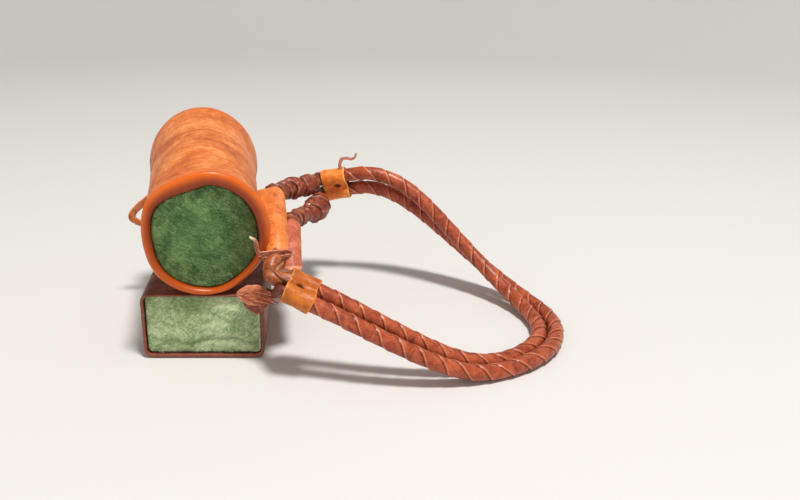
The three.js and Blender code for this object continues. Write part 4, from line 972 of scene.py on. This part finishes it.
foot = on_axis(far, 1, COLLAR_HALF - 2.8) + far[2] * 8.6
CURL = [(0, 0, -1.5), (-0.6, 0, 4.5), (1.5, 0, 8.6), (6, -0.5, 9.4), (10, -1, 8.6), (13, -1.5, 10.6),
        (14, -1.5, 14)]
path = smooth([foot + np.array(p) for p in CURL], 0.6)
far_thong = drawn(strip_tree, "far_thong_strip", "knot_leather", [path], [np.linspace(1.1, 0.6, len(path))],
                  Width=3.0 * MM, Thickness=2.9 * MM, Across=(0.0, 1.0, 0.0), Material=knot_leather)
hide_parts("far_thong")


# Gathered ties.
# Bundles of folded brown strips: one over the box's front corner, its cut tips to the right, with a
# wrapped cord up to the near collar, and one on the box under the drum's back.
tie_leather = leather("brown_tie_strip", "#561f10", "#a44e2e", "#dc9268", cloud=7.0, grain=0.8,
                      rough=(0.2, 0.36))


def wad(middle, length, height, depth, pleats, seed):
    """Rings of a gathered wad: rounded at the left, drawn out to a tip at the right, with slanting pleats, and
    painted shade in the pleats and over its lower half.
    """
    sides = 96
    a = np.arange(sides) / sides * 2 * math.pi
    rings, dark = [], []
    for t in np.linspace(0, 1, 40):
        full = (math.sin(math.pi * min(t, 0.5) ** 0.75 / 2 ** 0.25) if t < 0.5
                else 1 - ((t - 0.5) / 0.5) ** 1.8) * 0.94 + 0.06
        swirl = pleats * a + 4.5 * t + 0.9 * np.sin(2 * a + seed) + 1.6 * math.sin(4 * t + seed)
        fold = 1 - 2 * np.abs(np.sin(swirl / 2)) ** 0.7
        reach = full * (1 - 0.2 * fold + 0.08 * np.sin(3 * a + seed + 2 * t))
        rings.append(np.stack([np.full(sides, (t - 0.5) * length), depth / 2 * reach * np.cos(a),
                               height / 2 * reach * np.sin(a) - 1.5 * math.sin(math.pi * t)], -1))
        dark.append(np.clip(fold * 1.3 - 0.25 + np.clip(-0.9 * np.sin(a) - 0.1, 0, 0.7), 0, 0.85))
    rings = np.array(rings)
    stirred = 0.5 * ripple(rings, 4.0, seed)[:, :, None] * np.array([0.3, 1, 1])
    return rings + np.array(middle) + stirred, np.array(dark)


# Free ends of the strips, drawn over each wad to their cut tips.
FRONT_TIPS = [[(33, -62.6, 61.0), (42, -64.0, 63.4), (51, -66.0, 62.0), (61.0, -69.5, 59.4)],
              [(36, -63.6, 60.0), (45, -65.0, 60.0), (52, -66.2, 57.4), (59.5, -68.5, 54.4)],
              [(34, -63.6, 58.4), (42, -65.0, 57.0), (49, -65.0, 54.6), (57.0, -64.5, 51.4)],
              [(32, -62.6, 56.4), (38, -64.2, 54.6), (44, -63.4, 52.2), (49.0, -61.8, 49.6)]]
REAR_TIPS = [[(-20, 38.5 + k, 62.5 - 0.8 * k), (-8, 37.6 + k, 64.0 - 0.6 * k), (4, 38.2 + k, 62.4 - 0.8 * k),
              (12.5 - k, 39.0 + k, 60.5 - k)] for k in range(4)]
for name, middle, length, height, depth, pleats, tips, width in (
        ("box_tie_front", (41.0, -58.0, 57.6), 27.0, 14.0, 10.4, 10, FRONT_TIPS, 3.6),
        ("box_tie_rear", (-7.6, 42.7, 60.2), 36.0, 8.6, 9.0, 9, REAR_TIPS, 2.6)):
    rings, dark = wad(middle, length, height, depth, pleats, 3.0)
    # Painted highlight on the ridges and top, painted shade in the pleats and underneath.
    body = skin(name + "_wad", rings, tie_leather,
                {"painted_shade": dark, "edge": np.clip(0.2 - dark, 0, 1) * 2.5})
    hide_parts(name)
    lines = [smooth(tip, 0.7) for tip in tips]
    sizes = [np.interp(np.linspace(0, 1, len(line)), [0, 0.15, 0.45, 0.75, 1], [0.35, 0.9, 1, 0.75, 0.1])
             for line in lines]
    drawn(strip_tree, name + "_strips", "tie_leather", lines, sizes, Width=width * MM, Thickness=1.6 * MM,
          Across=(0.25, 0.3, 0.92), Square=0.0, Material=tie_leather)

# Loose fold of the front tie, hanging below its wad over the box's corner, made in the darker wrapped-strip
# leather as painted shade, with painted shade in its pleats and underside.
rings, dark = wad((42.0, -56.4, 50.4), 20.0, 14.0, 7.0, 5, 5.0)
skin("box_tie_front_fold", rings, knot_leather, {"painted_shade": 0.7 * dark})
path = smooth([(47.0, -54.6, 57.5), (52.5, -57.5, 57.5), (57.5, -66.0, 61.5), (60.0, -77.5, 69.0),
               on_axis(near, -1, -12.5), on_axis(near, -1, -5.5), on_axis(near, -1, -END_GAP)], 0.7)
# The cord takes the darker box hide, as painted shade.
tie_cord = drawn(wrap_tree, "box_tie_cord_wrap", "knot_leather", [path], [2.9], Pitch=8.0 * MM,
                 Relief=0.9 * MM, Turns=-1.0, Stray=0.7, Rub=0.3, Sides=40, Material=box_leather)
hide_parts("box_tie_cord")


# Floor, light and camera.
# Plain pale floor that sweeps up all round, one broad lamp above and a little to the right, a weak one
# at the left, and the camera where the photograph was taken from.
FLOOR_FLAT, SWEEP_START, SWEEP_ROUND = 0.8, 1.6, 1.3
FLOOR_SINK = 0.0004
floor_mesh = bpy.data.meshes.new("floor")
sweep = [(FLOOR_FLAT, 0.0)] + [(SWEEP_START + SWEEP_ROUND * math.sin(a),
                                SWEEP_ROUND - SWEEP_ROUND * math.cos(a))
                               for a in np.linspace(0, math.pi / 2, 25)]
spokes = 96
corners = [(r * math.cos(k / spokes * 2 * math.pi), r * math.sin(k / spokes * 2 * math.pi), z - FLOOR_SINK)
           for r, z in sweep for k in range(spokes)]
faces = [list(range(spokes))]
for row in range(len(sweep) - 1):
    for k in range(spokes):
        after = (k + 1) % spokes
        faces.append((row * spokes + k, (row + 1) * spokes + k, (row + 1) * spokes + after,
                      row * spokes + after))
floor_mesh.from_pydata(corners, [], faces)
floor_mesh.shade_smooth()
floor = bpy.data.objects.new("floor", floor_mesh)
bpy.context.scene.collection.objects.link(floor)
floor_paint = bpy.data.materials.new("pale_floor")
floor_paint.use_nodes = True
shader = floor_paint.node_tree.nodes["Principled BSDF"]
shader.inputs["Base Color"].default_value = linear("#d9d6d1")
shader.inputs["Roughness"].default_value = 0.85
floor_mesh.materials.append(floor_paint)

world = bpy.data.worlds.new("studio")
bpy.context.scene.world = world
world.use_nodes = True
sky = world.node_tree.nodes["Background"]
sky.inputs["Color"].default_value = linear("#f1f0ee")
sky.inputs["Strength"].default_value = 0.38
for name, place, size, power in (("key", (0.52, -0.74, 2.8), 0.4, 82.0), ("fill", (-1.4, -1.6, 1.1), 1.2, 5.0)):
    lamp = bpy.data.lights.new(name, "AREA")
    lamp.energy = power
    lamp.size = size
    holder = bpy.data.objects.new(name, lamp)
    holder.location = place
    holder.rotation_euler = (Vector((0.08, 0.0, 0.08)) - Vector(place)).to_track_quat("-Z", "Y").to_euler()
    bpy.context.scene.collection.objects.link(holder)

lens = bpy.data.cameras.new("camera")
lens.sensor_width = 36.0
lens.lens = 38.16
lens.shift_x = 0.1
lens.clip_start, lens.clip_end = 0.01, 60.0
camera = bpy.data.objects.new("camera", lens)
camera.location = (0.09035, -0.6406, 0.31726)
camera.rotation_euler = (math.radians(90 - 21.07), 0.0, 0.0)
bpy.context.scene.collection.objects.link(camera)
bpy.context.scene.camera = camera
bpy.context.scene.view_settings.view_transform = "Standard"

bpy.context.view_layer.update()
